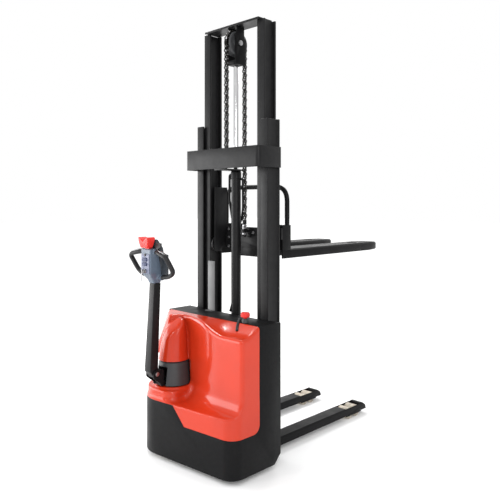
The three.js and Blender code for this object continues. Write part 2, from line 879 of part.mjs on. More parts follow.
const TUBE_TOP = 1675;
function liftCylinder() {
  const tube = join(
    bar("z", 27, MAST_BASE_TOP + GAP, TUBE_TOP - 1, 0, CYLINDER_Y),
    bar("z", 31, TUBE_TOP - 34, TUBE_TOP, 0, CYLINDER_Y),
    bar("z", 34, MAST_BASE_TOP + GAP, MAST_BASE_TOP + 20, 0, CYLINDER_Y),
  );
  return cut(
    tube,
    bar("z", 22, 78, TUBE_TOP - 32, 0, CYLINDER_Y),
    bar("z", ROD_RADIUS + GAP, 100, TUBE_TOP + 10, 0, CYLINDER_Y),
  );
}
add(truck, "lift_cylinder", liftCylinder(), "blackPaint");

const rearChainY = PULLEY_Y - CHAIN_PITCH_RADIUS;
const frontChainY = PULLEY_Y + CHAIN_PITCH_RADIUS;
function chainRun(y, low, high) {
  const half = CHAIN_HALF_THICK;
  return block(-CHAIN_HALF_WIDTH, CHAIN_HALF_WIDTH, y - half, y + half, low, high);
}
const pulleyRestZ = PULLEY_Z + RAISED;
add(truck, "chain_rear_run", chainRun(rearChainY, REAR_ANCHOR_Z, pulleyRestZ - 1), "chainSteel");

// ---------------------------------------------------------------- base legs

function leg(side) {
  const centre = side * LEG_X;
  const half = LEG_WIDTH / 2;
  const rear = baseFront + GAP;
  const wall = 7;
  const profile = [
    [centre - half, LEG_LOW],
    [centre + half, LEG_LOW],
    [centre + half, LEG_HIGH - 9],
    [centre + half - 9, LEG_HIGH],
    [centre - half + 9, LEG_HIGH],
    [centre - half, LEG_HIGH - 9],
  ];
  const noseCut = prism(
    [
      [LEG_TIP - 34, LEG_HIGH + 1],
      [LEG_TIP - 8, LEG_HIGH - 20],
      [LEG_TIP + 1, LEG_HIGH - 44],
      [LEG_TIP + 20, LEG_HIGH - 44],
      [LEG_TIP + 20, LEG_HIGH + 1],
    ],
    "x",
    centre - 80,
    centre + 80,
  );
  const bay = block(centre - half + wall, centre + half - wall, 500, 680, 0, 100);
  const under = block(centre - half + wall, centre + half - wall, rear + 40, 460, 0, LEG_HIGH - 8);
  const cheeks = [-1, 1].map((edge) => {
    const x = centre + edge * (half - wall / 2);
    return block(x - wall / 2, x + wall / 2, 505, 675, 24, LEG_LOW + 5);
  });
  const axles = LOAD_ROLLER_Y.map((y) =>
    bar("x", 8, centre - half + 1, centre + half - 1, y, LOAD_ROLLER_RADIUS, 20),
  );
  const beam = cut(prism(profile, "y", rear, LEG_TIP), noseCut, bay, under);
  return join(beam, ...cheeks, ...axles);
}

function loadRoller(side, y) {
  const half = LEG_WIDTH / 2 - 9;
  const profile = [
    [0, -half],
    [LOAD_ROLLER_RADIUS - 3, -half],
    [LOAD_ROLLER_RADIUS, -half + 3],
    [LOAD_ROLLER_RADIUS, half - 3],
    [LOAD_ROLLER_RADIUS - 3, half],
    [0, half],
  ];
  const bore = bar("x", 8.3, -60, 60, y, LOAD_ROLLER_RADIUS, 20);
  const roller = cut(turnedAcross(profile, y, LOAD_ROLLER_RADIUS, 32), bore);
  return roller.translate([side * LEG_X, 0, 0]);
}

for (const [name, side] of Object.entries(SIDES)) {
  add(truck, `leg_${name}`, leg(side), "blackPaint");
  add(truck, `load_roller_${name}_rear`, loadRoller(side, LOAD_ROLLER_Y[0]), "polyurethane");
  add(truck, `load_roller_${name}_front`, loadRoller(side, LOAD_ROLLER_Y[1]), "polyurethane");
}

// ---------------------------------------------------------------- inner mast

const innerFront = INNER_REAR + INNER_DEPTH;
const INNER_WEB_X = 232;
const MAST_ROLLER_Y = -297;
const MAST_ROLLER_Z = 118;

// A roller on a stub axle, drawn about the axle and then moved to its side of the mast.
function mastRoller(side, radius, from, to, y, z) {
  const body = cut(
    bar("x", radius, from, to, y, z, 32),
    bar("x", 10.3, from - 5, to + 5, y, z, 20),
  );
  return side > 0 ? body : body.mirror([1, 0, 0]);
}

for (const [name, side] of Object.entries(SIDES)) {
  const rail = channel(side, INNER_X, INNER_REAR, INNER_DEPTH, INNER_LOW, INNER_HIGH, 57, INNER_WEB_X);
  const from = INNER_WEB_X + 4;
  const axle = bar("x", 10, from, 281, MAST_ROLLER_Y, MAST_ROLLER_Z, 20);
  const placed = side > 0 ? axle : axle.mirror([1, 0, 0]);
  add(innerMast, `inner_channel_${name}`, join(rail, placed), "blackPaint");
  const roller = mastRoller(side, 40.3, 265, 281, MAST_ROLLER_Y, MAST_ROLLER_Z);
  add(innerMast, `mast_roller_${name}`, roller, "steel");
}

const TOP_PLATE_LOW = INNER_HIGH + GAP;
const TOP_PLATE_HIGH = TOP_PLATE_LOW + 10;
const TOP_PLATE_HALF = 234;
function topBeam() {
  const x = TOP_PLATE_HALF;
  const rear = INNER_REAR - 20;
  const plate = block(-x, x, rear, innerFront - 5, TOP_PLATE_LOW, TOP_PLATE_HIGH);
  const lip = block(-x, x, rear, rear + 6, TOP_PLATE_LOW - 3, TOP_PLATE_HIGH);
  return join(plate, lip);
}
add(innerMast, "inner_top_beam", topBeam(), "blackPaint");

const tie = block(-246, 246, INNER_REAR - 18, INNER_REAR - GAP, INNER_LOW + 10, INNER_LOW + 90);
add(innerMast, "inner_bottom_beam", tie, "blackPaint");

const YOKE_LOW = 1763.5;
const YOKE_HALF = 40;
function pulleyYoke() {
  const top = TOP_PLATE_LOW - GAP;
  const profile = [
    [-342, YOKE_LOW, 12],
    [-257, YOKE_LOW, 12],
    [-257, PULLEY_Z + 28],
    [-271, PULLEY_Z + 28],
    [-271, top],
    [-332, top],
    [-332, PULLEY_Z + 60],
    [-342, PULLEY_Z + 50],
  ];
  const cheeks = cut(
    prism(profile, "x", -YOKE_HALF, YOKE_HALF),
    block(-32, 32, -400, -200, YOKE_LOW + 24, top + 10),
    bar("x", 13 + GAP, -60, 60, PULLEY_Y, PULLEY_Z, 20),
  );
  return cheeks;
}

add(innerMast, "pulley_yoke", pulleyYoke(), "blackPaint");

const pulleyPin = join(
  bar("x", 13, -45, 45, PULLEY_Y, PULLEY_Z, 20),
  bar("x", 16.5, -47, -YOKE_HALF - GAP, PULLEY_Y, PULLEY_Z, 20),
  bar("x", 16.5, YOKE_HALF + GAP, 47, PULLEY_Y, PULLEY_Z, 20),
);
add(innerMast, "pulley_pin", pulleyPin, "chrome");

const GROOVE = CHAIN_PITCH_RADIUS - CHAIN_HALF_THICK - 1;
function chainPulley() {
  const rim = CHAIN_PITCH_RADIUS + 7;
  const profile = [
    [0, -26],
    [rim, -26],
    [rim, -14],
    [GROOVE, -11],
    [GROOVE, 11],
    [rim, 14],
    [rim, 26],
    [0, 26],
  ];
  const bore = bar("x", 13 + 2 * GAP, -40, 40, PULLEY_Y, PULLEY_Z, 20);
  return cut(turnedAcross(profile, PULLEY_Y, PULLEY_Z, 32), bore);
}
add(innerMast, "chain_pulley", chainPulley(), "castIron");

function chainWrap() {
  const ring = cut(
    bar("x", CHAIN_PITCH_RADIUS + CHAIN_HALF_THICK, -10, 10, PULLEY_Y, PULLEY_Z, 32),
    bar("x", GROOVE + 3 * GAP, -20, 20, PULLEY_Y, PULLEY_Z, 32),
  );
  return cut(ring, block(-40, 40, -500, 0, PULLEY_Z - 200, PULLEY_Z));
}
add(innerMast, "chain_wrap", chainWrap(), "chainSteel");

const PISTON_LOW = 98.5;
const rod = join(
  bar("z", ROD_RADIUS, PISTON_LOW, YOKE_LOW - GAP, 0, CYLINDER_Y),
  bar("z", 21.7, PISTON_LOW, PISTON_LOW + 45, 0, CYLINDER_Y),
);
add(innerMast, "piston_rod", rod, "chrome");

// ---------------------------------------------------------------- fork carriage

const CARRIAGE_PLATE_X = 198;
const CARRIAGE_ROLLER_Y = -279;
const CARRIAGE_ROLLER_Z = 107;
const LOOP_TOP = 467;

function carriageFrame() {
  const legPass = LEG_HIGH + 4;
  const cheeks = mirrored(CARRIAGE_PLATE_X - 12, CARRIAGE_PLATE_X, -305, FORK_HEEL - 10, 62, LOOP_TOP);
  const legRoom = block(-260, 260, -250, 0, 0, legPass);
  const upperBar = block(-280, 280, FORK_HEEL - 12, FORK_HEEL - GAP, 150, 217);
  const lowerPlate = block(-138, 138, FORK_HEEL - 18, FORK_HEEL - 10, FORK_LOW, 160);
  const shoulder = block(-CARRIAGE_PLATE_X, CARRIAGE_PLATE_X, FORK_HEEL - 18, FORK_HEEL - 8, 84, 160);
  const anchor = join(
    block(-24, 24, frontChainY - 14, FORK_HEEL - 8, 185, 203),
    bar("z", 8, 156, 240, 0, frontChainY, 20),
    block(-11, 11, frontChainY - 7, frontChainY + 7, 236, FRONT_ANCHOR_Z - GAP),
  );
  const stub = (side) => {
    const x = [side * (CARRIAGE_PLATE_X - 4), side * 228].sort((a, b) => a - b);
    return bar("x", 10, x[0], x[1], CARRIAGE_ROLLER_Y, CARRIAGE_ROLLER_Z, 20);
  };
  const frame = cut(join(...cheeks, upperBar, shoulder), legRoom);
  return join(frame, lowerPlate, anchor, stub(-1), stub(1));
}
add(carriage, "carriage_frame", carriageFrame(), "blackPaint");

for (const [name, side] of Object.entries(SIDES)) {
  const roller = mastRoller(side, 38.3, 206, 228, CARRIAGE_ROLLER_Y, CARRIAGE_ROLLER_Z);
  add(carriage, `carriage_roller_${name}`, roller, "steel");
}

function fork(side) {
  const centre = side * FORK_X;
  const half = FORK_WIDTH / 2;
  const wall = 8;
  const bevel = 12;
  const section = (y, halfX, drop) => [
    [centre - halfX, y, FORK_LOW + drop],
    [centre - halfX, y, FORK_HIGH - bevel],
    [centre - halfX + bevel, y, FORK_HIGH - drop / 2],
    [centre + halfX - bevel, y, FORK_HIGH - drop / 2],
    [centre + halfX, y, FORK_HIGH - bevel],
    [centre + halfX, y, FORK_LOW + drop],
  ];
  const blade = loft([
    section(FORK_HEEL, half, 0),
    section(FORK_TIP - 130, half, 0),
    section(FORK_TIP - 30, half - 20, 2),
    section(FORK_TIP, half - 32, 6),
  ]);
  const inner = half - wall;
  const hollow = block(centre - inner, centre + inner, -300, FORK_TIP - 120, 0, FORK_HIGH - wall);
  const slotPlan = new THREE.Shape();
  slotPlan.absellipse(centre, FORK_TIP - 230, 26, 52, 0, 2 * Math.PI);
  const slot = prism(slotPlan, "z", 0, 200, 16);
  const shank = block(centre - half, centre + half, FORK_HEEL, FORK_FACE, FORK_HIGH - 8, 235);
  return join(cut(blade, hollow, slot), shank);
}
for (const [name, side] of Object.entries(SIDES))
  add(carriage, `fork_${name}`, fork(side), "blackPaint");

function backrestLoop() {
  const x = 265;
  const y = -132;
  const foot = 235 + GAP;
  const points = [
    [-x, y, foot],
    [-x, y, LOOP_TOP],
    [x, y, LOOP_TOP],
    [x, y, foot],
  ];
  return bentTube(points, 85, 14.5, 12, 30);
}
add(carriage, "backrest_loop", backrestLoop(), "blackPaint");

const frontRun = chainRun(frontChainY, FRONT_ANCHOR_Z, PULLEY_Z - RAISED - 1);
add(carriage, "chain_front_run", frontRun, "chainSteel");

export default truck;
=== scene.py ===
"""The looks of an electric walkie stacker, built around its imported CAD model. Metres, +Z up."""

import json
import math
from itertools import product

import bmesh
import bpy
import numpy as np
from mathutils import Matrix, Vector


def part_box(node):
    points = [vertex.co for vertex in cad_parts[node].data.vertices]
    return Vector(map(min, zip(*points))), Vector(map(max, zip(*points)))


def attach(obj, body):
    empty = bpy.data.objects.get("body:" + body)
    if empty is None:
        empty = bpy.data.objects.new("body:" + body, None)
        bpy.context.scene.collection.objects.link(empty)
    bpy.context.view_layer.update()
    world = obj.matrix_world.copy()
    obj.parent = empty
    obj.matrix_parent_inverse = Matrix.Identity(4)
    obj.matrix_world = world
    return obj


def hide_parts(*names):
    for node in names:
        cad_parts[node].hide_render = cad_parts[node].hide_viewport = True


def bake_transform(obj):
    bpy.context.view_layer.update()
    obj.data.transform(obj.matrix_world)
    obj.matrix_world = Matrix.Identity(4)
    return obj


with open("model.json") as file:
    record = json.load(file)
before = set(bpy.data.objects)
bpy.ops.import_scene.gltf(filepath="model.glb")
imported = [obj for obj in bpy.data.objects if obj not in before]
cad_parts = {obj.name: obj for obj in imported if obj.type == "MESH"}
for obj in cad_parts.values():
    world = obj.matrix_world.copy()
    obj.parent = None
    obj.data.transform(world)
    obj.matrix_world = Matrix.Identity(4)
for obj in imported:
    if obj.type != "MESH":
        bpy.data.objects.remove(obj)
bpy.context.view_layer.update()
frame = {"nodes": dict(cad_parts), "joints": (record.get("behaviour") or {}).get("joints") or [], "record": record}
NODES = frame["nodes"]
BODY_OF = {n: b for b, ns in frame["record"]["behaviour"]["bodies"].items() for n in ns}
SLOT_OF = {s["node"]: s["material_slot"] for s in frame["record"]["subparts"]}
JOINT_AT = {j["name"]: Vector(j["pos_m"]) for j in frame["joints"] if "pos_m" in j}

STEER = JOINT_AT["tiller_steer"].xy
PIVOT = JOINT_AT["tiller_tilt"]


# ---------------------------------------------------------------- materials


def node_graph(name):
    mat = bpy.data.materials.new(name)
    mat.use_nodes = True
    tree = mat.node_tree
    return mat, tree, tree.nodes["Principled BSDF"]


def texture(tree, kind, scale, detail=2.0, stretch=(1, 1, 1)):
    """A 3-D texture in the row's own metres, stretched along an axis where its scale there is low."""
    place = tree.nodes.new("ShaderNodeTexCoord")
    mapping = tree.nodes.new("ShaderNodeMapping")
    mapping.inputs["Scale"].default_value = stretch
    tree.links.new(place.outputs["Object"], mapping.inputs["Vector"])
    node = tree.nodes.new(kind)
    node.inputs["Scale"].default_value = scale
    if "Detail" in node.inputs:
        node.inputs["Detail"].default_value = detail
    tree.links.new(mapping.outputs["Vector"], node.inputs["Vector"])
    return node.outputs["Fac"] if "Fac" in node.outputs else node.outputs["Distance"]


def ramp(tree, value, low, high, color_low, color_high):
    node = tree.nodes.new("ShaderNodeValToRGB")
    node.color_ramp.elements[0].position = low
    node.color_ramp.elements[1].position = high
    node.color_ramp.elements[0].color = (*color_low, 1)
    node.color_ramp.elements[1].color = (*color_high, 1)
    tree.links.new(value, node.inputs["Fac"])
    return node.outputs["Color"]


def spread(tree, value, low, high):
    node = tree.nodes.new("ShaderNodeMapRange")
    node.inputs["From Min"].default_value = 0.3
    node.inputs["From Max"].default_value = 0.7
    node.inputs["To Min"].default_value = low
    node.inputs["To Max"].default_value = high
    tree.links.new(value, node.inputs["Value"])
    return node.outputs["Result"]


def overlay(tree, under, over, share):
    """The colour over, laid on the colour under by a share from 0 to 1."""
    node = tree.nodes.new("ShaderNodeMix")
    node.data_type = "RGBA"
    tree.links.new(share, node.inputs["Factor"])
    tree.links.new(under, node.inputs["A"])
    if isinstance(over, tuple):
        node.inputs["B"].default_value = (*over, 1)
    else:
        tree.links.new(over, node.inputs["B"])
    return node.outputs["Result"]


def bump(tree, shader, layers):
    """Bump layers of (height, strength, distance in metres), one over the other."""
    normal = None
    for height, strength, distance in layers:
        node = tree.nodes.new("ShaderNodeBump")
        node.inputs["Strength"].default_value = strength
        node.inputs["Distance"].default_value = distance
        tree.links.new(height, node.inputs["Height"])
        if normal:
            tree.links.new(normal, node.inputs["Normal"])
        normal = node.outputs["Normal"]
    tree.links.new(normal, shader.inputs["Normal"])


def set_shader(shader, **values):
    for name, value in values.items():
        shader.inputs[name.replace("_", " ").title().replace("Ior", "IOR")].default_value = value


def painted(name, color, rough, peel=0.08, coat=0.0, specular=0.5, dust=0.04, pebble=900):
    """Paint or moulded plastic: cloudy colour, uneven gloss, orange peel or grain, and settled dust."""
    mat, tree, shader = node_graph(name)
    darker = tuple(c * 0.86 for c in color)
    cloud = ramp(tree, texture(tree, "ShaderNodeTexNoise", 3.5, 5), 0.3, 0.7, darker, color)
    specks = texture(tree, "ShaderNodeTexNoise", 46, 8)
    share = spread(tree, specks, 0, dust)
    pale = tuple(min(1, c + 0.12) for c in color)
    tree.links.new(overlay(tree, cloud, pale, share), shader.inputs["Base Color"])
    uneven = texture(tree, "ShaderNodeTexNoise", 11, 6)
    tree.links.new(spread(tree, uneven, rough * 0.85, rough * 1.2), shader.inputs["Roughness"])
    set_shader(shader, specular_ior_level=specular, coat_weight=coat, coat_roughness=0.04)
    grain = texture(tree, "ShaderNodeTexNoise", pebble, 2)
    wave = texture(tree, "ShaderNodeTexNoise", 9, 1)
    bump(tree, shader, [(grain, peel, 0.0004), (wave, 0.05, 0.002)])
    return mat


def metal(name, color, rough, brush=(1, 1, 1), depth=0.1, stain=(0.03, 0.025, 0.02), amount=0.2):
    """Bare or oiled metal: tool marks stretched along the piece, and stains."""
    mat, tree, shader = node_graph(name)
    marks = texture(tree, "ShaderNodeTexNoise", 260, 3, brush)
    darker = tuple(c * 0.8 for c in color)
    tint = ramp(tree, marks, 0.35, 0.65, darker, color)
    share = spread(tree, texture(tree, "ShaderNodeTexNoise", 18, 8), 0, amount)
    tree.links.new(overlay(tree, tint, stain, share), shader.inputs["Base Color"])
    tree.links.new(spread(tree, marks, rough * 0.8, rough * 1.25), shader.inputs["Roughness"])
    set_shader(shader, metallic=1.0)
    bump(tree, shader, [(marks, depth, 0.0003)])
    return mat


def cast(name, color, rough):
    """Painted castings, with the coarse skin of a sand mould."""
    mat, tree, shader = node_graph(name)
    skin = texture(tree, "ShaderNodeTexVoronoi", 420)
    lumps = texture(tree, "ShaderNodeTexNoise", 60, 5)
    paler = tuple(c * 1.5 for c in color)
    tree.links.new(ramp(tree, lumps, 0.3, 0.75, color, paler), shader.inputs["Base Color"])
    tree.links.new(spread(tree, lumps, rough * 0.8, rough * 1.1), shader.inputs["Roughness"])
    bump(tree, shader, [(skin, 0.35, 0.0006), (lumps, 0.2, 0.001)])
    return mat


def tread(name, color, rough):
    """Cast polyurethane, rolled grey along its tread."""
    mat, tree, shader = node_graph(name)
    dirt = texture(tree, "ShaderNodeTexNoise", 34, 8, (1, 0.6, 0.6))
    grey = tuple(c * 0.5 for c in color)
    tree.links.new(ramp(tree, dirt, 0.38, 0.72, color, grey), shader.inputs["Base Color"])
    tree.links.new(spread(tree, dirt, rough * 0.8, rough * 1.4), shader.inputs["Roughness"])
    set_shader(shader, subsurface_weight=0.06, subsurface_scale=0.004)
    scuffs = texture(tree, "ShaderNodeTexNoise", 240, 4, (0.3, 1, 1))
    bump(tree, shader, [(scuffs, 0.2, 0.0004)])
    return mat


BLACK = (0.006, 0.006, 0.0065)
RED = (0.54, 0.033, 0.009)
LOOKS = {
    "black_paint": painted("black_paint", BLACK, 0.42, peel=0.2, specular=0.09, dust=0.02),
    "mast_paint": painted("mast_paint", BLACK, 0.4, peel=0.12, specular=0.18, dust=0.03),
    "red_hood": painted("red_hood", RED, 0.2, peel=0.03, coat=0.28, specular=0.2, dust=0.01, pebble=300),
    "red_plastic": painted("red_plastic", (0.68, 0.03, 0.024), 0.3, peel=0.05, specular=0.3, dust=0.02),
    "dark_plastic": painted(
        "dark_plastic", (0.035, 0.036, 0.038), 0.45, peel=0.4, specular=0.35, pebble=1300),
    "pale_plastic": painted("pale_plastic", (0.16, 0.175, 0.25), 0.4, peel=0.2, specular=0.25, dust=0.03),
    "pale_paint": painted("pale_paint", (0.08, 0.08, 0.083), 0.42, peel=0.2),
    "grey_plastic": painted("grey_plastic", (0.085, 0.115, 0.16), 0.42, peel=0.4, pebble=1100),
    "shell_plastic": painted("shell_plastic", (0.022, 0.028, 0.036), 0.5, peel=0.4, pebble=1100),
    "grip_rubber": painted("grip_rubber", (0.009, 0.009, 0.01), 0.5, peel=0.5, specular=0.3, pebble=700),
    "polyurethane": tread("polyurethane", (0.55, 0.49, 0.4), 0.42),
    "chrome": metal("chrome", (0.8, 0.8, 0.81), 0.1, (1, 1, 0.05), 0.02, amount=0.05),
    "steel": metal("steel", (0.42, 0.42, 0.43), 0.32, (0.2, 1, 1), 0.12),
    "aluminium": metal("aluminium", (0.6, 0.61, 0.62), 0.38, (0.1, 1, 1), 0.15),
    "cast_iron": cast("cast_iron", (0.03, 0.031, 0.033), 0.6),
    "chain_steel": metal("chain_steel", (0.035, 0.034, 0.033), 0.42, (1, 1, 0.3), 0.1, amount=0.4),
    "legend_ink": painted("legend_ink", (0.02, 0.03, 0.09), 0.5, peel=0.1),
}


# ---------------------------------------------------------------- mesh tools


def link(name, mesh):
    obj = bpy.data.objects.new(name, mesh)
    bpy.context.scene.collection.objects.link(obj)
    return obj


def from_data(name, vertices, faces):
    mesh = bpy.data.meshes.new(name)
    mesh.from_pydata([tuple(v) for v in vertices], [], [tuple(f) for f in faces])
    mesh.update()
    return link(name, mesh)


def applied(obj):
    """Replaces obj's mesh by what its modifiers make of it."""
    graph = bpy.context.evaluated_depsgraph_get()
    mesh = bpy.data.meshes.new_from_object(obj.evaluated_get(graph))
    obj.modifiers.clear()
    old = obj.data
    obj.data = mesh
    bpy.data.meshes.remove(old)
    return obj


def smooth(obj, angle=35):
    """Smooth shading, with edges over the angle kept sharp."""
    mesh = obj.data
    mesh.polygons.foreach_set("use_smooth", [True] * len(mesh.polygons))
    mesh.set_sharp_from_angle(angle=math.radians(angle))
    return obj


def rounded(obj, width, segments=2, angle=30):
    """Rounds the edges that turn by more than the angle."""
    edge = obj.modifiers.new("edge", "BEVEL")
    edge.width = width
    edge.segments = segments
    edge.limit_method = "ANGLE"
    edge.angle_limit = math.radians(angle)
    edge.miter_outer = "MITER_ARC"
    edge.use_clamp_overlap = True
    return smooth(applied(obj), 40)


def boolean(obj, tool, operation):
    step = obj.modifiers.new("step", "BOOLEAN")
    step.operation = operation
    step.solver = "EXACT"
    step.object = tool
    applied(obj)
    mesh = tool.data
    bpy.data.objects.remove(tool)
    bpy.data.meshes.remove(mesh)
    return obj


def place(obj, body, look, *replaced, slot=None):
    """Gives a finished piece its body and material, and says which CAD nodes it stands for."""
    obj.data.materials.clear()
    obj.data.materials.append(LOOKS[look])
    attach(obj, body)
    if replaced:
        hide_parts(*replaced)
    return obj


def prism(name, corners, axis, low, high):
    """A closed extrusion of an outline. The corners lie in the two axes after axis, in order."""
    if low > high:
        low, high = high, low
    area = sum(a[0] * b[1] - b[0] * a[1] for a, b in zip(corners, corners[1:] + corners[:1]))
    if area < 0:
        corners = corners[::-1]
    first, second = [(1, 2), (2, 0), (0, 1)][axis]
    count = len(corners)
    points = []
    for level in (low, high):
        for corner in corners:
            point = [0, 0, 0]
            point[axis], point[first], point[second] = level, corner[0], corner[1]
            points.append(point)
    faces = [list(range(count))[::-1], list(range(count, 2 * count))]
    for i in range(count):
        j = (i + 1) % count
        faces.append([i, j, j + count, i + count])
    return from_data(name, points, faces)


def slab(name, low, high, width=0.002, segments=2):
    """A rounded block between two corners."""
    corners = [(low[0], low[1]), (high[0], low[1]), (high[0], high[1]), (low[0], high[1])]
    return rounded(prism(name, corners, 2, low[2], high[2]), width, segments)


def turned(name, profile, axis, centre, sides=48):
    """A turned piece. The profile of (radius, place along the axis) starts and ends on the axis."""
    first, second = [(1, 2), (2, 0), (0, 1)][axis]
    rings, points, faces = [], [], []
    for radius, along in profile:
        ring = []
        for i in range(1 if radius < 1e-7 else sides):
            turn = 2 * math.pi * i / sides
            point = [0, 0, 0]
            point[axis] = along
            point[first] = centre[first] + radius * math.cos(turn)
            point[second] = centre[second] + radius * math.sin(turn)
            ring.append(len(points))
            points.append(point)
        rings.append(ring)
    for a, b in zip(rings, rings[1:]):
        for i in range(sides):
            j = (i + 1) % sides
            if len(a) == 1 and len(b) == 1:
                continue
            if len(a) == 1:
                faces.append([a[0], b[j], b[i]])
            elif len(b) == 1:
                faces.append([a[i], a[j], b[0]])
            else:
                faces.append([a[i], a[j], b[j], b[i]])
    obj = from_data(name, points, faces)
    return smooth(facing_out(obj), 35)


def facing_out(obj):
    mesh = bmesh.new()
    mesh.from_mesh(obj.data)
    bmesh.ops.recalc_face_normals(mesh, faces=mesh.faces)
    mesh.to_mesh(obj.data)
    mesh.free()
    return obj


def round_profile(points, radius=0.002, steps=3):
    """A turned profile with its corners rounded, apart from its two ends."""
    made = [points[0]]
    for before, here, after in zip(points, points[1:], points[2:]):
        here_v = Vector(here)
        back, ahead = Vector(before) - here_v, Vector(after) - here_v
        reach = min(radius, back.length * 0.45, ahead.length * 0.45)
        start, end = here_v + back.normalized() * reach, here_v + ahead.normalized() * reach
        for i in range(steps + 1):
            t = i / steps
            made.append(tuple(start * (1 - t) ** 2 + here_v * 2 * t * (1 - t) + end * t * t))
    made.append(points[-1])
    return made


def joined(name, pieces):
    """One object from several."""
    whole = bmesh.new()
    for piece in pieces:
        whole.from_mesh(piece.data)
        mesh = piece.data
        bpy.data.objects.remove(piece)
        bpy.data.meshes.remove(mesh)
    mesh = bpy.data.meshes.new(name)
    whole.to_mesh(mesh)
    whole.free()
    return smooth(link(name, mesh), 40)


def bolt(name, centre, axis, sign, size=0.008):
    """A hexagon head on a washer. It stands out along sign times the axis."""
    base = centre[axis]
    washer = turned(
        name + "_washer",
        [(0, base), (size * 1.1, base),
         (size * 1.1, base + sign * size * 0.18), (0, base + sign * size * 0.18)],
        axis, centre, 20,
    )
    low, high = base + sign * size * 0.18, base + sign * size * 0.85
    head = turned(
        name + "_head",
        [(0, low), (size, low), (size, high - sign * size * 0.12), (size * 0.86, high), (0, high)],
        axis, centre, 6,
    )
    return joined(name, [washer, head])


def swept(name, points, half_wide, half_high, up, sides=20, closed=False):
    """An oval bar along points. Its height is measured along up, as square to the path as it goes."""
    points = [Vector(p) for p in points]
    up = Vector(up)
    count = len(points)
    vertices, faces = [], []
    for i, point in enumerate(points):
        before = points[(i - 1) % count] if closed or i else points[0]
        after = points[(i + 1) % count] if closed or i + 1 < count else points[-1]
        along = (after - before).normalized()
        side = along.cross(up).normalized()
        lift = side.cross(along).normalized()
        for k in range(sides):
            turn = 2 * math.pi * k / sides
            spot = side * half_wide * math.cos(turn) + lift * half_high * math.sin(turn)
            vertices.append(point + spot)
    for i in range(count if closed else count - 1):
        for k in range(sides):
            a, b = i * sides + k, i * sides + (k + 1) % sides
            j = (i + 1) % count
            faces.append([a, b, j * sides + (k + 1) % sides, j * sides + k])
    if not closed:
        faces.append(list(range(sides))[::-1])
        faces.append([(count - 1) * sides + k for k in range(sides)])
    return smooth(facing_out(from_data(name, vertices, faces)), 50)


def rounded_path(corners, bend, steps=10):
    """Points along straight runs, with a smooth bend at each corner."""
    corners = [Vector(c) for c in corners]
    path = [corners[0]]
    for before, here, after in zip(corners, corners[1:], corners[2:]):
        back, ahead = before - here, after - here
        reach = min(bend, back.length * 0.48, ahead.length * 0.48)
        start, end = here + back.normalized() * reach, here + ahead.normalized() * reach
        for i in range(steps + 1):
            t = i / steps
            path.append(start * (1 - t) ** 2 + here * 2 * t * (1 - t) + end * t * t)
    path.append(corners[-1])
    return path


def refined(node, width=0.002, segments=2, look=None, extra=()):
    """A CAD node's own solid with its edges rounded, as a piece that stands for the node."""
    source = NODES[node]
    mesh = bmesh.new()
    mesh.from_mesh(source.data)
    bmesh.ops.remove_doubles(mesh, verts=mesh.verts, dist=1e-5)
    bmesh.ops.dissolve_limit(
        mesh, angle_limit=math.radians(1), verts=mesh.verts, edges=mesh.edges, delimit=set()
    )
    data = bpy.data.meshes.new(node + "_shell")
    mesh.to_mesh(data)
    mesh.free()
    obj = rounded(link(node + "_shell", data), width, segments)
    slot = SLOT_OF[node]
    return place(obj, BODY_OF[node], look or slot, node, *extra, slot=slot)


# ---------------------------------------------------------------- smooth solids from distances


def soft_min(a, b, k):
    h = np.clip(0.5 + 0.5 * (b - a) / k, 0, 1)
    return b * (1 - h) + a * h - k * h * (1 - h)


def soft_max(a, b, k):
    return -soft_min(-a, -b, k)


def ease(t):
    t = np.clip(t, 0, 1)
    return t * t * (3 - 2 * t)


def arc_outline(corners, steps=10):
    """An outline through corners (u, v, radius), with each corner rounded."""
    made = []
    count = len(corners)
    for i, (u, v, radius) in enumerate(corners):
        here = Vector((u, v))
        if not radius:
            made.append((u, v))
            continue
        back = (Vector(corners[i - 1][:2]) - here).normalized()
        ahead = (Vector(corners[(i + 1) % count][:2]) - here).normalized()
        half = back.angle(ahead) / 2
        centre = here + (back + ahead).normalized() * radius / math.sin(half)
        start = here + back * radius / math.tan(half) - centre
        end = here + ahead * radius / math.tan(half) - centre
        turn = start.angle_signed(end)
        for k in range(steps + 1):
            angle = -turn * k / steps
            c, s = math.cos(angle), math.sin(angle)
            made.append((centre.x + c * start.x - s * start.y, centre.y + s * start.x + c * start.y))
    return made


def outline_distance(u, v, outline):
    """Signed distance from points (u, v) to a closed outline, negative inside."""
    best = np.full(np.broadcast(u, v).shape, 1e9)
    inside = np.zeros(best.shape, bool)
    for (ax, ay), (bx, by) in zip(outline, outline[1:] + outline[:1]):
        ex, ey = bx - ax, by - ay
        wx, wy = u - ax, v - ay
        t = np.clip((wx * ex + wy * ey) / (ex * ex + ey * ey), 0, 1)
        best = np.minimum(best, (wx - ex * t) ** 2 + (wy - ey * t) ** 2)
        if ay != by:
            crosses = (ay > v) != (by > v)
            inside ^= crosses & (u < ax + ex * (v - ay) / ey)
    return np.where(inside, -1, 1) * np.sqrt(best)


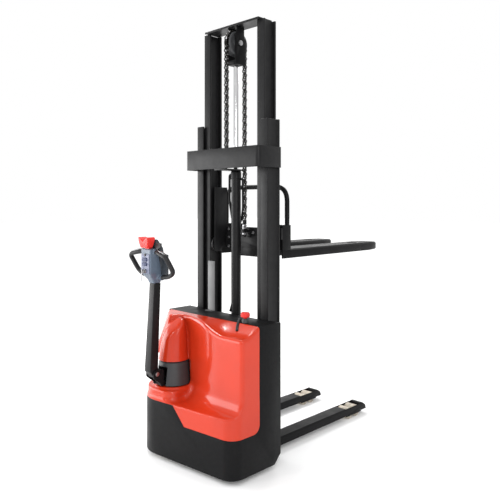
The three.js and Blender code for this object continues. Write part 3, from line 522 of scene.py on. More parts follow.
def surface_of(name, field, low, high, step):
    """The zero surface of a distance field as a quad mesh, by surface nets."""
    axes = [np.arange(a, b + step, step) for a, b in zip(low, high)]
    x, y, z = axes[0][:, None, None], axes[1][None, :, None], axes[2][None, None, :]
    value = np.broadcast_to(field(x, y, z), [len(a) for a in axes])
    inside = value < 0
    cells = [len(a) - 1 for a in axes]

    def corner(array, offset):
        return array[tuple(slice(o, o + n) for o, n in zip(offset, cells))]

    corners = list(product((0, 1), repeat=3))
    count_in = sum(corner(inside, c).astype(np.int8) for c in corners)
    active = (count_in > 0) & (count_in < 8)
    index = np.full(cells, -1)
    index[active] = np.arange(active.sum())
    total = np.zeros((active.sum(), 3))
    crossings = np.zeros(active.sum())
    for a in corners:
        for axis in range(3):
            if a[axis]:
                continue
            b = tuple(1 if i == axis else a[i] for i in range(3))
            va, vb = corner(value, a)[active], corner(value, b)[active]
            cross = (va < 0) != (vb < 0)
            t = np.where(cross, va / np.where(va == vb, 1, va - vb), 0)
            spot = np.tile(np.array(a, float), (len(va), 1))
            spot[:, axis] += t
            total += spot * cross[:, None]
            crossings += cross
    base = np.argwhere(active)
    points = np.array(low) + (base + total / crossings[:, None]) * step
    for _ in range(4):
        here = field(*points.T)
        slope = np.stack(
            [field(*(points + step * 0.1 * np.eye(3)[i]).T) - here for i in range(3)], 1
        ) / (step * 0.1)
        move = here[:, None] * slope / np.maximum((slope**2).sum(1), 0.2)[:, None]
        points -= np.clip(move, -step * 0.5, step * 0.5)
    faces = []
    for axis in range(3):
        others = [i for i in range(3) if i != axis]
        shape = list(inside.shape)
        first = [slice(None)] * 3
        second = [slice(None)] * 3
        first[axis], second[axis] = slice(0, -1), slice(1, None)
        change = inside[tuple(first)] != inside[tuple(second)]
        for i in others:
            keep = [slice(None)] * 3
            keep[i] = slice(1, -1)
            change_view = change[tuple(keep)]
            change = change_view
        where = np.argwhere(change)
        where[:, others] += 1
        quad = []
        for du, dv in ((1, 1), (0, 1), (0, 0), (1, 0)):
            cell = where.copy()
            cell[:, others[0]] -= du
            cell[:, others[1]] -= dv
            quad.append(index[tuple(cell.T)])
        quad = np.stack(quad, 1)
        starts_in = inside[tuple(where.T)]
        flip = starts_in if axis != 1 else ~starts_in
        quad[flip] = quad[flip][:, ::-1]
        faces.append(quad)
    faces = np.concatenate(faces)
    return facing_out(from_data(name, points, faces[(faces >= 0).all(1)].tolist()))


# ---------------------------------------------------------------- hood

DECK_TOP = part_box("top_deck")[1].z
HOOD_LOW, HOOD_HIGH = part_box("rear_hood")
COVER_LOW, COVER_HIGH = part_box("steering_cover")
SIDE = HOOD_HIGH.x
DECK_REAR = HOOD_HIGH.y
# Height of the step where the hood's band meets its wall.
LEDGE = 0.345
WALL_Y = -0.64
SKIRT_PLAN = arc_outline(
    [(-SIDE, -0.3, 0), (-SIDE, -0.785, 0.18), (SIDE, -0.71, 0.08), (SIDE, -0.3, 0)], 16
)
VALLEY_Y = -0.572
WALL_RIGHT = [
    (-0.18, VALLEY_Y, 0.02), (-0.125, VALLEY_Y, 0.03), (0.15, WALL_Y, 0.5),
    (SIDE, WALL_Y, 0.022), (SIDE, -0.4, 0),
]
WALL_PLAN = arc_outline([(-SIDE, -0.4, 0), (-SIDE, WALL_Y, 0.06), (-0.24, WALL_Y, 0.03), *WALL_RIGHT], 12)
# Lower down, the left cheek slants clear of the steered tiller base.
LOW_WALL_PLAN = arc_outline([(-SIDE, -0.4, 0), (-SIDE, -0.5, 0.04), (-0.245, -0.62, 0.03), *WALL_RIGHT], 12)
BASE_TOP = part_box("tiller_base")[1].z
PLATFORM_PLAN = arc_outline(
    [(-SIDE + 0.007, -0.3, 0), (-SIDE + 0.007, -0.778, 0.174), (-0.075, -0.748, 0.07), (-0.075, -0.3, 0)], 16
)
PLATFORM = 0.403


def brow(x):
    """Height of the hood's rear top edge: it drops towards the right."""
    return DECK_TOP - 0.056 * ease((x + 0.03) / 0.28)


def slope_top(x, y):
    """Height of the hood's top: level with the deck at its front, down at the brow to its rear."""
    back = np.clip((DECK_REAR - y) / (DECK_REAR - WALL_Y), 0, 1)
    return DECK_TOP - (DECK_TOP - brow(x)) * np.sin(back * math.pi / 2)


def hood_field(x, y, z):
    skirt = outline_distance(x, y, SKIRT_PLAN)
    band = soft_max(skirt, z - LEDGE, 0.012)
    upper = ease((z - BASE_TOP - 0.01) / 0.04)
    wall = outline_distance(x, y, WALL_PLAN) * upper + outline_distance(x, y, LOW_WALL_PLAN) * (1 - upper)
    body = soft_max(wall, (z - slope_top(x, y)) * 0.94, 0.02)
    facet = (-0.609 * x - 0.793 * y + 0.353 * (z - 0.784) - 0.655) / 1.06
    body = soft_max(body, facet, 0.02)
    # The bell over the steering cover leans to the right as it rises.
    rise = np.clip((z - 0.56) / 0.25, 0, 1)
    lean = 0.03 * rise**1.4
    radius = 0.0885 - 0.03 * rise - 0.022 * rise**4
    bell = np.hypot(x - STEER.x - lean, y - STEER.y) - radius
    bell = soft_max(bell, z - DECK_TOP + 0.006 + 0.9 * np.clip(-0.6 - y, 0, 1), 0.035)
    bell = np.maximum(bell, 0.45 - z)
    body = soft_min(body, bell, 0.012)
    # The platform that carries the steering cover fills the rear left corner of the skirt.
    mound = soft_max(outline_distance(x, y, PLATFORM_PLAN), z - PLATFORM, 0.014)
    collar = soft_max(np.hypot(x - STEER.x, y - STEER.y) - 0.112, z - COVER_LOW.z + 0.004, 0.006)
    mound = soft_min(mound, collar, 0.02)
    lower = soft_min(band, body, 0.1)
    whole = soft_min(lower, mound, 0.03)
    whole = soft_max(whole, skirt, 0.004)
    whole = soft_max(whole, z - DECK_TOP, 0.003)
    return np.maximum(whole, 0.2 - z)


def hood_zone(name):
    """The space of the hood above the skirt's stepped edge and behind the deck."""
    far = SIDE + 0.02
    left, right = 0.34, HOOD_LOW.z
    behind = [(left, -far), (left, -0.05), (right, 0.04), (right, far), (0.9, far), (0.9, -far)]
    zone = prism(name, behind, 1, -0.9, DECK_REAR)
    side = arc_outline(
        [(-0.9, right, 0), (DECK_REAR, right, 0.045), (DECK_REAR, 0.9, 0), (-0.9, 0.9, 0)], 12)
    return boolean(zone, prism(name + "_side", side, 0, -far, far), "INTERSECT")


def make_hood():
    step = 0.005
    low = (-SIDE - 0.02, -0.79, 0.19)
    high = (SIDE + 0.02, -0.44, DECK_TOP + 0.02)
    hood = surface_of("hood", hood_field, low, high, step)
    pocket = [
        (0, COVER_LOW.z - 0.004), (0.105, COVER_LOW.z - 0.004),
        (0.105, COVER_HIGH.z + 0.004), (0, COVER_HIGH.z + 0.004),
    ]
    centre = (*STEER, 0)
    boolean(hood, turned("pocket", pocket, 2, centre, 72), "DIFFERENCE")
    hole = [(0, 0.1), (0.082, 0.1), (0.082, COVER_LOW.z), (0, COVER_LOW.z)]
    boolean(hood, turned("hole", hole, 2, centre, 48), "DIFFERENCE")
    boolean(hood, hood_zone("zone"), "INTERSECT")
    # Opens the front and the bottom, then gives the shell its thickness.
    mesh = bmesh.new()
    mesh.from_mesh(hood.data)
    open_faces = []
    for face in mesh.faces:
        centre = face.calc_center_median()
        front = abs(centre.y - DECK_REAR) < 1e-5 and abs(face.normal.y) > 0.99
        under = face.normal.z < -0.5 and centre.z < LEDGE
        step_side = face.normal.z < -0.3 and face.normal.x < -0.3 and centre.z < 0.3401
        corner = centre.y > DECK_REAR - 0.046 and centre.z < HOOD_LOW.z + 0.046
        corner = corner and abs(face.normal.x) < 0.05 and face.normal.z < -0.02
        if front or under or step_side or corner:
            open_faces.append(face)
    bmesh.ops.delete(mesh, geom=open_faces, context="FACES")
    bmesh.ops.remove_doubles(mesh, verts=mesh.verts, dist=1e-5)
    mesh.to_mesh(hood.data)
    mesh.free()
    wall = hood.modifiers.new("wall", "SOLIDIFY")
    wall.thickness = 0.0035
    wall.offset = -1
    smooth(applied(hood), 38)
    return place(hood, "chassis", "red_hood", "rear_hood")


make_hood()


# ---------------------------------------------------------------- frame pieces

for node in ("chassis_frame", "mast_base", "top_deck"):
    refined(node, 0.0025)
for node in ("outer_channel_left", "outer_channel_right"):
    refined(node, 0.0045, 3, "mast_paint")
for node in ("inner_channel_left", "inner_channel_right"):
    refined(node, 0.004, 3, "mast_paint")
for node in ("leg_left", "leg_right", "fork_left", "fork_right"):
    refined(node, 0.003, 2)
for node in ("crossbeam", "inner_bottom_beam", "carriage_frame", "inner_top_beam"):
    refined(node, 0.002, 2, "mast_paint")
refined("tiller_base", 0.002, 2)
for node in ("pulley_yoke", "castor_fork", "hose_guard", "throttle", "hood_latch"):
    refined(node, 0.0015, 2)
for node in ("raise_button", "lower_button"):
    refined(node, 0.001, 2, "legend_ink")
for node in ("head_panel", "battery_pack"):
    refined(node, 0.001, 2)
for node in ("hydraulic_unit", "motor_controller", "drive_gearbox", "drive_motor"):
    refined(node, 0.0015, 1)
refined("tiller_arm", 0.006, 3, "mast_paint")
for node in ("horn_button", "key_switch", "key", "tiller_pin", "stop_collar"):
    refined(node, 0.0008, 2)
refined("pulley_pin", 0.0008, 2, "steel")


# The rubber strap that holds the hood shut runs aslant from the deck's latch over the hood's top.
latch_low, latch_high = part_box("hood_latch")
strap_x = (latch_low.x + latch_high.x) / 2
strap_corners = [(strap_x, latch_high.y - 0.004, latch_high.z - 0.004)]
for along, behind in ((0.012, 0.006), (0.034, 0.034), (0.054, 0.056)):
    x, y = strap_x + along, DECK_REAR - behind
    strap_corners.append((x, y, float(slope_top(x, y)) + 0.004))
strap_path = rounded_path(strap_corners, 0.01, 6)
place(swept("hood_strap", strap_path, 0.008, 0.0035, (0, 0, 1), 14), "chassis", "grip_rubber")


# ---------------------------------------------------------------- turned pieces


def lathe(node, profile, axis, centre, look=None, sides=64, corner=0.002):
    low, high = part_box(node)
    obj = turned(node + "_turned", round_profile(profile, corner), axis, centre, sides)
    return place(obj, BODY_OF[node], look or SLOT_OF[node], node, slot=SLOT_OF[node])


def middle(node):
    low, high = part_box(node)
    return (low + high) / 2, (high - low) / 2


def wheel(node, hub, bore, look=None, dish=0.006, corner=0.004):
    """A wheel or roller along X: tread, hub recess and bore."""
    centre, half = middle(node)
    radius, wide = half.z, half.x
    profile = []
    for side in (-1, 1):
        row = [(bore, centre.x + side * (wide - dish)), (hub, centre.x + side * (wide - dish)),
               (hub + 0.004, centre.x + side * wide), (radius, centre.x + side * wide)]
        profile += row if side < 0 else row[::-1]
    points = round_profile(profile + [profile[0]], corner)
    obj = turned_ring(node + "_turned", points[:-1], 0, centre)
    return place(obj, BODY_OF[node], look or SLOT_OF[node], node, slot=SLOT_OF[node])


def turned_ring(name, profile, axis, centre, sides=64):
    """A turned ring from a closed profile that stays off the axis."""
    first, second = [(1, 2), (2, 0), (0, 1)][axis]
    count = len(profile)
    points, faces = [], []
    for i in range(sides):
        turn = 2 * math.pi * i / sides
        for radius, along in profile:
            point = [0, 0, 0]
            point[axis] = along
            point[first] = centre[first] + radius * math.cos(turn)
            point[second] = centre[second] + radius * math.sin(turn)
            points.append(point)
    for i in range(sides):
        j = (i + 1) % sides
        for k in range(count):
            n = (k + 1) % count
            faces.append([i * count + k, i * count + n, j * count + n, j * count + k])
    return smooth(facing_out(from_data(name, points, faces)), 35)


wheel("drive_wheel", 0.07, 0.0153)
wheel("castor_wheel", 0.034, 0.0073)
for side in ("left", "right"):
    for end in ("rear", "front"):
        wheel(f"load_roller_{side}_{end}", 0.02, 0.0083, dish=0.003)
    wheel(f"mast_roller_{side}", 0.022, 0.0103, dish=0.002, corner=0.002)
    wheel(f"carriage_roller_{side}", 0.022, 0.0103, dish=0.002, corner=0.002)

CYLINDER = middle("lift_cylinder")[0]
ROD_LOW, ROD_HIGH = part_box("piston_rod")
TUBE_LOW, TUBE_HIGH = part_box("lift_cylinder")
axis_at = (CYLINDER.x, CYLINDER.y, 0)
lathe(
    "piston_rod",
    [(0, ROD_LOW.z), (0.0217, ROD_LOW.z), (0.0217, ROD_LOW.z + 0.045), (0.015, ROD_LOW.z + 0.045),
     (0.015, ROD_HIGH.z), (0, ROD_HIGH.z)],
    2, axis_at,
)
tube_top = TUBE_HIGH.z
tube = turned_ring(
    "lift_cylinder_turned",
    round_profile([
        (0.022, TUBE_LOW.z), (0.034, TUBE_LOW.z), (0.034, TUBE_LOW.z + 0.02),
        (0.0295, TUBE_LOW.z + 0.022), (0.0295, tube_top - 0.05), (0.0325, tube_top - 0.046),
        (0.0325, tube_top - 0.008), (0.0285, tube_top), (0.0155, tube_top),
        (0.0155, tube_top - 0.03), (0.022, tube_top - 0.034), (0.022, TUBE_LOW.z),
    ], 0.0015)[:-1],
    2, axis_at,
)
place(tube, "chassis", "mast_paint", "lift_cylinder", slot="black_paint")

LINK = 0.0254
PLATE_END, PLATE_WAIST, PLATE_THICK = 0.0115, 0.0082, 0.0028
PULLEY, PULLEY_HALF = middle("chain_pulley")
rim = PULLEY_HALF.z - 0.009
wide = PULLEY_HALF.x
chain_low, chain_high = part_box("chain_front_run")
wrap_radius = (chain_low.y + chain_high.y) / 2 - PULLEY.y
groove = wrap_radius - PLATE_END - 0.002
pulley_profile = [
    (0.0136, -wide), (0.03, -wide), (0.032, -wide + 0.007), (rim - 0.016, -wide + 0.007),
    (rim - 0.013, -wide), (rim - 0.001, -wide), (rim, -0.016), (groove + 0.001, -0.0125),
    (groove, 0.0), (groove + 0.001, 0.0125), (rim, 0.016), (rim - 0.001, wide),
    (rim - 0.013, wide), (rim - 0.016, wide - 0.007), (0.032, wide - 0.007), (0.03, wide),
    (0.0136, wide), (0.0136, -wide),
]
pulley = turned_ring("chain_pulley_turned", round_profile(pulley_profile, 0.0015)[:-1], 0, PULLEY)
place(pulley, "chain_pulley", "cast_iron", "chain_pulley")

cover_profile = [
    (0.0, COVER_HIGH.z), (0.078, COVER_HIGH.z), (0.0865, COVER_HIGH.z - 0.008),
    (0.0985, COVER_LOW.z + 0.012), (0.1, COVER_LOW.z + 0.006), (0.1, COVER_LOW.z),
    (0.096, COVER_LOW.z), (0.0955, COVER_LOW.z + 0.01), (0.082, COVER_HIGH.z - 0.013),
    (0.0, COVER_HIGH.z - 0.013),
]
cover = turned("steering_cover_turned", round_profile(cover_profile, 0.004), 2, (*STEER, 0), 96)
slot_low = (STEER.x - 0.042, STEER.y - 0.13, COVER_LOW.z - 0.01)
slot_high = (STEER.x + 0.042, STEER.y - 0.06, 0.526)
boolean(cover, slab("cover_slot", slot_low, slot_high, 0.006, 3), "DIFFERENCE")
place(smooth(cover, 35), "steering", "dark_plastic", "steering_cover")

STOP, STOP_HALF = middle("stop_button")
stop_low, stop_high = STOP.z - STOP_HALF.z, STOP.z + STOP_HALF.z
lathe(
    "stop_button",
    [(0, stop_low), (0.009, stop_low), (0.009, stop_high - 0.029), (0.0225, stop_high - 0.029),
     (0.026, stop_high - 0.025), (0.026, stop_high - 0.009), (0.022, stop_high - 0.002),
     (0.012, stop_high), (0, stop_high)],
    2, STOP, corner=0.003,
)


# ---------------------------------------------------------------- lift chain



def chain_plate(name, x, pitch):
    """A waisted link plate in the Y,Z plane, from one pin at the origin to the next above it."""
    outline = []
    for centre, start in ((pitch, 0), (0, math.pi)):
        for i in range(9):
            turn = start + (i / 8 - 0.5) * 2.5
            outline.append((PLATE_END * math.cos(turn), centre + PLATE_END * math.sin(turn)))
        waist = PLATE_WAIST if start else -PLATE_WAIST
        outline.append((waist, pitch / 2))
    return prism(name, outline, 0, x - PLATE_THICK / 2, x + PLATE_THICK / 2)


def chain_link(part, outer, pitch):
    """One link's plates, or the roller and pin at its lower end."""
    if part == "plates":
        half = 0.0098 if outer else 0.0064
        return joined("link", [chain_plate("plate", -half, pitch), chain_plate("plate", half, pitch)])
    pin = [(0, -0.012), (0.0038, -0.012), (0.0038, 0.012), (0, 0.012)]
    roller = [(0, -0.005), (0.0074, -0.005), (0.0074, 0.005), (0, 0.005)]
    return joined("link", [turned("pin", pin, 0, (0, 0, 0), 12), turned("roller", roller, 0, (0, 0, 0), 16)])


def chain(name, part, places, pitch):
    """One part of every link, at places of (y, z, turn about X)."""
    whole = bmesh.new()
    for i, (y, z, turn) in enumerate(places):
        piece = chain_link(part, i % 2 == 0, pitch)
        mesh = piece.data
        mesh.transform(Matrix.Translation((0, y, z)) @ Matrix.Rotation(turn, 4, "X"))
        whole.from_mesh(mesh)
        bpy.data.objects.remove(piece)
        bpy.data.meshes.remove(mesh)
    mesh = bpy.data.meshes.new(name)
    whole.to_mesh(mesh)
    whole.free()
    return smooth(link(name, mesh), 35)


CHAIN_PARTS = {"plates": "chain_steel", "rollers": "steel"}


def chain_run(node, name):
    low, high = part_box(node)
    y = (low.y + high.y) / 2
    top = PULLEY.z
    count = round((top - low.z) / LINK)
    pitch = (top - low.z) / count
    for part, look in CHAIN_PARTS.items():
        run = chain(f"{name}_{part}", part, [(y, low.z + i * pitch, 0) for i in range(count)], pitch)
        run.data.materials.append(LOOKS[look])
        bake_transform(run)
        if part == "plates":
            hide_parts(node)


chain_run("chain_rear_run", "chain_rear")
chain_run("chain_front_run", "chain_front")
wrap_count = round(math.pi * wrap_radius / LINK)
wrap_pitch = 2 * wrap_radius * math.sin(math.pi / wrap_count / 2)
wrap_places = []
for i in range(wrap_count):
    turn = math.pi * i / wrap_count
    at = (PULLEY.y + wrap_radius * math.cos(turn), PULLEY.z + wrap_radius * math.sin(turn))
    wrap_places.append((*at, turn + math.pi / wrap_count / 2))
for part, look in CHAIN_PARTS.items():
    wrap = chain(f"chain_wrap_{part}", part, wrap_places, wrap_pitch)
    place(wrap, "inner_mast", look, *(["chain_wrap"] if part == "plates" else []), slot="chain_steel")


# ---------------------------------------------------------------- carriage fittings

loop_low, loop_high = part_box("backrest_loop")
loop_y = (loop_low.y + loop_high.y) / 2
pipe = (loop_high.y - loop_low.y) / 2
loop_x = loop_high.x - pipe
loop_z = loop_high.z - pipe
loop = swept(
    "backrest_tube",
    rounded_path([(-loop_x, loop_y, loop_low.z), (-loop_x, loop_y, loop_z),
                  (loop_x, loop_y, loop_z), (loop_x, loop_y, loop_low.z)], 0.095, 20),
    pipe, pipe, (0, 1, 0), 24,
)
place(loop, "carriage", "black_paint", "backrest_loop")

front_y = PULLEY.y + wrap_radius
for i, x in enumerate((-0.11, -0.055, 0.055, 0.11)):
    head = bolt(f"carriage_bolt_{i}", (x, -0.208, 1.297), 1, -1, 0.009)
    place(head, "carriage", "steel")
for i, (x, z) in enumerate(product((-0.162, 0.162), (1.262, 1.312, 1.206))):
    head = bolt(f"bracket_bolt_{i}", (x, -0.208, z), 1, -1, 0.008)
    place(head, "carriage", "steel")
rear_y = PULLEY.y - wrap_radius
STUD_NUTS = {
    "front_stud_nut": ("carriage", front_y, (1.318, 1.334, 1.284)),
    "rear_stud_nut": ("chassis", rear_y, (1.7655, 1.779, 1.732)),
}
for name, (body, y, heights) in STUD_NUTS.items():
    for i, z in enumerate(heights):
        nut_side = round_profile([(0, z), (0.0145, z), (0.0145, z + 0.012), (0, z + 0.012)], 0.001)
        place(turned(f"{name}_{i}", nut_side, 2, (0, y, 0), 6), body, "steel")

# The oil pipe leaves the port under the crossbeam and runs down close behind the lift cylinder,
# and a hose starts on its other side and joins it there.
PORT_Z = 1.652
OIL_LINES = {
    "oil_pipe": (0.0075, [(-0.03, 0, PORT_Z), (-0.05, -0.006, PORT_Z), (-0.046, -0.012, 1.5),
                          (-0.036, 0.012, 1.34), (-0.036, 0.012, 0.88), (-0.02, -0.03, 0.82)]),
    "oil_hose": (0.0065, [(0.026, 0.012, 1.63), (0.036, 0.022, 1.62), (0.034, 0.026, 1.45),
                          (0.008, 0.04, 1.38), (-0.02, 0.034, 1.32), (-0.02, 0.034, 0.88),
                          (-0.01, 0.02, 0.82)]),
}
for name, (radius, corners) in OIL_LINES.items():
    path = rounded_path([(CYLINDER.x + x, CYLINDER.y + y, z) for x, y, z in corners], 0.02, 8)
    place(swept(name, path, radius, radius, (0, 1, 0), 14), "chassis", "black_paint")
union = turned("oil_pipe_union", round_profile(
    [(0, -0.052), (0.01, -0.052), (0.01, -0.029), (0, -0.029)], 0.001), 0, (0, CYLINDER.y, PORT_Z), 6)
place(union, "chassis", "steel")


# ---------------------------------------------------------------- tiller head

HEAD_LOW, HEAD_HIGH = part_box("tiller_head")
PANEL_LOW, PANEL_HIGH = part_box("head_panel")
HEAD_SIDE = arc_outline(
    [(-0.79, HEAD_LOW.z, 0.004), (-0.742, HEAD_LOW.z, 0.004), (-0.725, 1.05, 0.03),
     (-0.704, 1.12, 0.05), (-0.722, 1.195, 0.02), (-0.775, HEAD_HIGH.z, 0.012),
     (-0.83, HEAD_HIGH.z, 0.006), (-0.832, 1.2, 0.01), (-0.832, 1.076, 0.012), (-0.802, 1.04, 0.012)], 5)
LOOP_TOP = Vector((0, -0.82, 1.184))
LOOP_FOOT = Vector((0, -0.765, 1.08))


def head_field(x, y, z):
    across = np.abs(x - STEER.x)
    half = 0.0265 + 0.02 * ease((z - 1.03) / 0.06)
    half = half - 0.012 * ease((y + 0.76) / 0.05)
    side = outline_distance(y, z, HEAD_SIDE)
    core = soft_max(across - half, side, 0.01)
    # The sockets of the grips.
    for at_y, at_z, radius in ((-0.795, 1.2, 0.0165), (-0.756, 1.052, 0.0165)):
        socket = soft_max(np.hypot(y - at_y, z - at_z) - radius, across - 0.06, 0.006)
        core = soft_min(core, socket, 0.012)
    return core


def seam(y, z):
    """Distance in front of the slanting seam between the head's two shells."""
    return (y + 0.781 + (z - 1.2) * 0.253) * 0.97


def shaft_bore():
    """The hole for the throttle's shaft."""
    profile = [(0, -0.4), (0.0064, -0.4), (0.0064, 0.1), (0, 0.1)]
    return turned("bore", profile, 0, JOINT_AT["throttle_turn"], 24)


def make_head():
    low = (STEER.x - 0.12, -0.845, 1.0)
    high = (STEER.x + 0.12, -0.69, 1.235)
    step = 0.0028

    def rear(x, y, z):
        return soft_max(head_field(x, y, z), seam(y, z), 0.001)

    def front(x, y, z):
        shell = soft_max(head_field(x, y, z) + 0.0012, 0.0004 - seam(y, z), 0.001)
        # The web between the arms of the grips, which guards the hands.
        web = np.maximum(np.abs(x - STEER.x) - 0.105, np.abs(z - 1.125) - 0.062)
        web = soft_max(web, np.abs(y + 0.752) - 0.005, 0.004)
        return soft_min(shell, web, 0.012)

    shells = [surface_of("tiller_head_rear", rear, low, high, step),
              surface_of("tiller_head_front", front, low, high, step)]
    for shell in shells:
        for node in ("raise_button", "lower_button", "horn_button", "key"):
            a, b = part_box(node)
            half = 0.0008
            reach = b.y + 0.004
            if node == "key":
                centre = (a + b) / 2
                bore = [(0, -0.86), (0.0066, -0.86), (0.0066, reach), (0, reach)]
                tool = turned("pocket", bore, 1, centre, 24)
            else:
                near = (a.x - half, -0.86, a.z - half)
                tool = slab("pocket", near, (b.x + half, reach, b.z + half), 0.0004, 1)
            boolean(shell, tool, "DIFFERENCE")
        well = slab("well", (STEER.x - 0.022, -0.824, 1.19), (STEER.x + 0.022, -0.804, 1.25), 0.001, 1)
        boolean(shell, well, "DIFFERENCE")
        boolean(shell, shaft_bore(), "DIFFERENCE")
    place(smooth(shells[0], 40), "tiller", "grey_plastic", "tiller_head")
    place(smooth(shells[1], 40), "tiller", "shell_plastic", slot="grey_plastic")


make_head()


def make_grip(name, side):
    inner = STEER.x + side * 0.046
    outer = STEER.x + side * 0.171
    top, foot = LOOP_TOP, LOOP_FOOT
    corners = [
        (inner, -0.795, 1.202),
        (STEER.x + side * 0.1, top.y + 0.008, top.z + 0.012),
        (outer, top.y - 0.001, top.z - 0.003),
        (outer, foot.y + 0.002, foot.z + 0.008),
        (STEER.x + side * 0.125, foot.y + 0.004, foot.z - 0.018),
        (inner, -0.756, 1.052),
    ]
    normal = (LOOP_FOOT - LOOP_TOP).cross(Vector((1, 0, 0))).normalized()
    path = rounded_path(corners, 0.026, 10)
    grip = swept(name + "_bar", path, 0.0125, 0.0145, normal, 24)
    return place(grip, "tiller", "grip_rubber", name, slot="grip_rubber")


make_grip("grip_left", -1)
make_grip("grip_right", 1)

# Bright steel rods along the upper bar of each grip, put there as painted highlights for the shine on the grip's
# edge; the front one starts beside the throttle.
throttle_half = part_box("throttle")[1].x - STEER.x
for name, side in (("left", -1), ("right", 1)):
    for shift, height, inner in ((0.012, 0.013, throttle_half + 0.004), (-0.008, 0.0165, 0.07)):
        late = inner - 0.07
        bend = max(0.1, inner + 0.005)
        highlight_strip_path = rounded_path([
            (STEER.x + side * inner, -0.793 + shift - late * 0.5, 1.199 + height - late * 0.1),
            (STEER.x + side * bend, LOOP_TOP.y + 0.008 + shift, LOOP_TOP.z + 0.012 + height),
            (STEER.x + side * 0.158, LOOP_TOP.y + 0.002 + shift, LOOP_TOP.z - 0.001 + height),
        ], 0.02, 6)
        # A thin bright rod that stands in for an edge highlight: a painted highlight, not a real part.
        highlight_strip = swept(f"grip_highlight_strip_{name}_{round(height * 1e4)}", highlight_strip_path, 0.0022, 0.0022, (0, 0, 1), 10)
        place(highlight_strip, "tiller", "steel")


def make_belly():
    low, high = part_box("belly_button")
    cap_low = HEAD_HIGH.z + 0.006
    span = high.z - cap_low

    def field(x, y, z):
        across = np.abs(x - STEER.x)
        grow = np.clip((z - cap_low) / span, 0, 1) ** 0.7
        saddle = high.z - 0.023 * (1 - np.clip(across / 0.036, 0, 1)) ** 1.2
        crown = (z - saddle) * 0.9
        sides = np.maximum(across - 0.031 - 0.015 * grow, np.abs(y + 0.8255) - 0.017 - 0.0115 * grow)
        return soft_max(soft_max(sides, crown, 0.009), cap_low - z, 0.004)

    cap = surface_of(
        "belly_cap", field, (low.x - 0.01, low.y - 0.01, cap_low - 0.01),
        (high.x + 0.01, high.y + 0.01, high.z + 0.02), 0.0022,
    )
    stem = slab("stem", (STEER.x - 0.02, -0.8222, 1.2025), (STEER.x + 0.02, -0.8058, cap_low + 0.004), 0.001)
    return place(joined("belly_cap", [cap, stem]), "belly_button", "red_plastic", "belly_button")


make_belly()

# The black housing behind the belly button carries the throttle's shaft.
housing_side = arc_outline(
    [(-0.796, HEAD_HIGH.z - 0.02, 0), (-0.735, HEAD_HIGH.z - 0.025, 0), (-0.742, 1.222, 0.008),
     (-0.78, 1.272, 0.012), (-0.7935, 1.272, 0.004)], 5)
housing = rounded(
    prism("throttle_housing", housing_side, 0, STEER.x - 0.0455, STEER.x + 0.0455), 0.003, 2)
boolean(housing, shaft_bore(), "DIFFERENCE")
place(housing, "tiller", "shell_plastic", slot="grey_plastic")

# The key's blade and its tag hang below the switch.
key_low, key_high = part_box("key")
tag_path = rounded_path([
    (STEER.x, key_low.y + 0.004, key_low.z + 0.004), (STEER.x - 0.004, key_low.y + 0.003, 1.068),
    (STEER.x - 0.012, key_low.y + 0.01, 1.036)], 0.01, 6)
place(swept("key_tag", tag_path, 0.004, 0.0016, (0, 1, 0), 10), "key", "steel")

# Raised legends on the panel: arrows for up and down beside a load, and bars.
face_y = PANEL_LOW.y


def legend(name, corners):
    piece = prism(name, [(z, x) for x, z in corners], 1, face_y - 0.0006, face_y + 0.0005)
    return piece


def arrow(name, x, z, sign, size=0.0055):
    return legend(name, [
        (x - size, z - sign * size * 0.1), (x, z + sign * size), (x + size, z - sign * size * 0.1),
        (x + size * 0.4, z - sign * size * 0.1), (x + size * 0.4, z - sign * size),
        (x - size * 0.4, z - sign * size), (x - size * 0.4, z - sign * size * 0.1),
    ])


marks = []
for node, sign in (("raise_button", 1), ("lower_button", -1)):
    centre, half = middle(node)
    marks.append(arrow("mark", STEER.x - 0.0275, centre.z, sign))
    marks.append(arrow("mark", STEER.x + 0.0275, centre.z, sign))
    for shift in (-0.0085, 0.0085):
        marks.append(legend("mark", [
            (STEER.x - 0.03, centre.z + shift - 0.001), (STEER.x - 0.022, centre.z + shift - 0.001),
            (STEER.x - 0.022, centre.z + shift + 0.001), (STEER.x - 0.03, centre.z + shift + 0.001)]))
place(joined("panel_legends", marks), "tiller", "legend_ink", slot="pale_plastic")


# ---------------------------------------------------------------- stage, lights and camera


def area_light(name, where, target, size, energy, color=(1, 1, 1)):
    data = bpy.data.lights.new(name, "AREA")
    data.shape = "RECTANGLE"
    data.size, data.size_y = size
    data.energy = energy
    data.color = color
    obj = bpy.data.objects.new(name, data)
    obj.location = where
    obj.rotation_euler = (Vector(target) - Vector(where)).to_track_quat("-Z", "Y").to_euler()
    obj.visible_camera = False
    bpy.context.scene.collection.objects.link(obj)


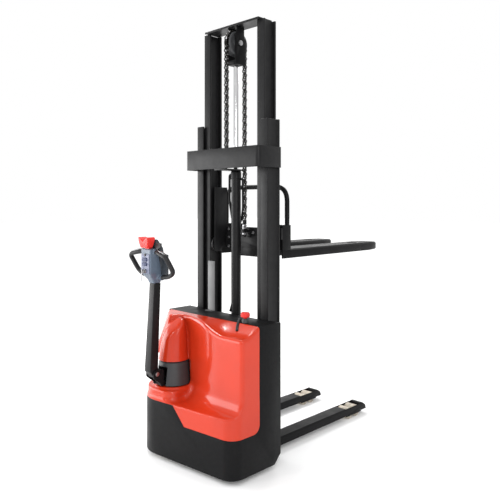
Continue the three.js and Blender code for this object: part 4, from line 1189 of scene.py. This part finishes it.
def make_stage():
    floor = from_data("floor", [(-40, -40, 0), (40, -40, 0), (40, 40, 0), (-40, 40, 0)], [(0, 1, 2, 3)])
    mat, tree, shader = node_graph("floor_paper")
    cloud = texture(tree, "ShaderNodeTexNoise", 2.0, 3)
    tone = ramp(tree, cloud, 0.3, 0.7, (0.93, 0.93, 0.93), (0.95, 0.95, 0.95))
    tree.links.new(tone, shader.inputs["Base Color"])
    set_shader(shader, roughness=0.9, specular_ior_level=0.0, emission_color=(1, 1, 1, 1))
    # The paper glows a little more away from the truck, so that it runs into the backdrop.
    spot = tree.nodes.new("ShaderNodeTexCoord")
    length = tree.nodes.new("ShaderNodeVectorMath")
    length.operation = "LENGTH"
    tree.links.new(spot.outputs["Object"], length.inputs[0])
    glow = tree.nodes.new("ShaderNodeMapRange")
    glow.inputs["From Min"].default_value = 0.8
    glow.inputs["From Max"].default_value = 4.0
    glow.inputs["To Min"].default_value = 0.04
    glow.inputs["To Max"].default_value = 0.3
    tree.links.new(length.outputs["Value"], glow.inputs["Value"])
    tree.links.new(glow.outputs["Result"], shader.inputs["Emission Strength"])
    floor.data.materials.append(mat)
    world = bpy.data.worlds.new("studio")
    bpy.context.scene.world = world
    world.use_nodes = True
    background = world.node_tree.nodes["Background"]
    background.inputs["Color"].default_value = (1, 1, 1, 1)
    background.inputs["Strength"].default_value = 1.0
    area_light("rear_softbox", (-4.0, -2.9, 1.5), (0, -0.4, 1.2), (4.4, 2.6), 185)
    area_light("camera_softbox", (3.6, -2.6, 2.2), (0, -0.5, 0.9), (0.5, 2.6), 30)
    area_light("lens_softbox", (-1.55, 3.2, 3.9), (0.2, -0.58, 0.78), (1.1, 1.6), 60)
    area_light("top_softbox", (-1.25, -0.1, 3.36), (0.18, -0.57, 0.78), (0.5, 0.9), 40)
    area_light("left_strip", (-0.55, -3.6, 2.4), (-0.2, -0.66, 0.65), (0.15, 1.5), 14)
    area_light("right_strip", (2.26, -2.35, 2.4), (-0.2, -0.66, 0.65), (0.15, 1.5), 14)


def make_camera():
    data = bpy.data.cameras.new("camera")
    data.sensor_width = 36
    data.lens = 42.48
    data.shift_y = -0.094
    camera = bpy.data.objects.new("camera", data)
    camera.location = (2.59, -2.815, 1.48)
    camera.rotation_euler = (math.radians(90), 0, math.radians(44.51))
    bpy.context.scene.collection.objects.link(camera)
    bpy.context.scene.camera = camera


make_stage()
make_camera()
bpy.context.scene.view_settings.view_transform = "Standard"
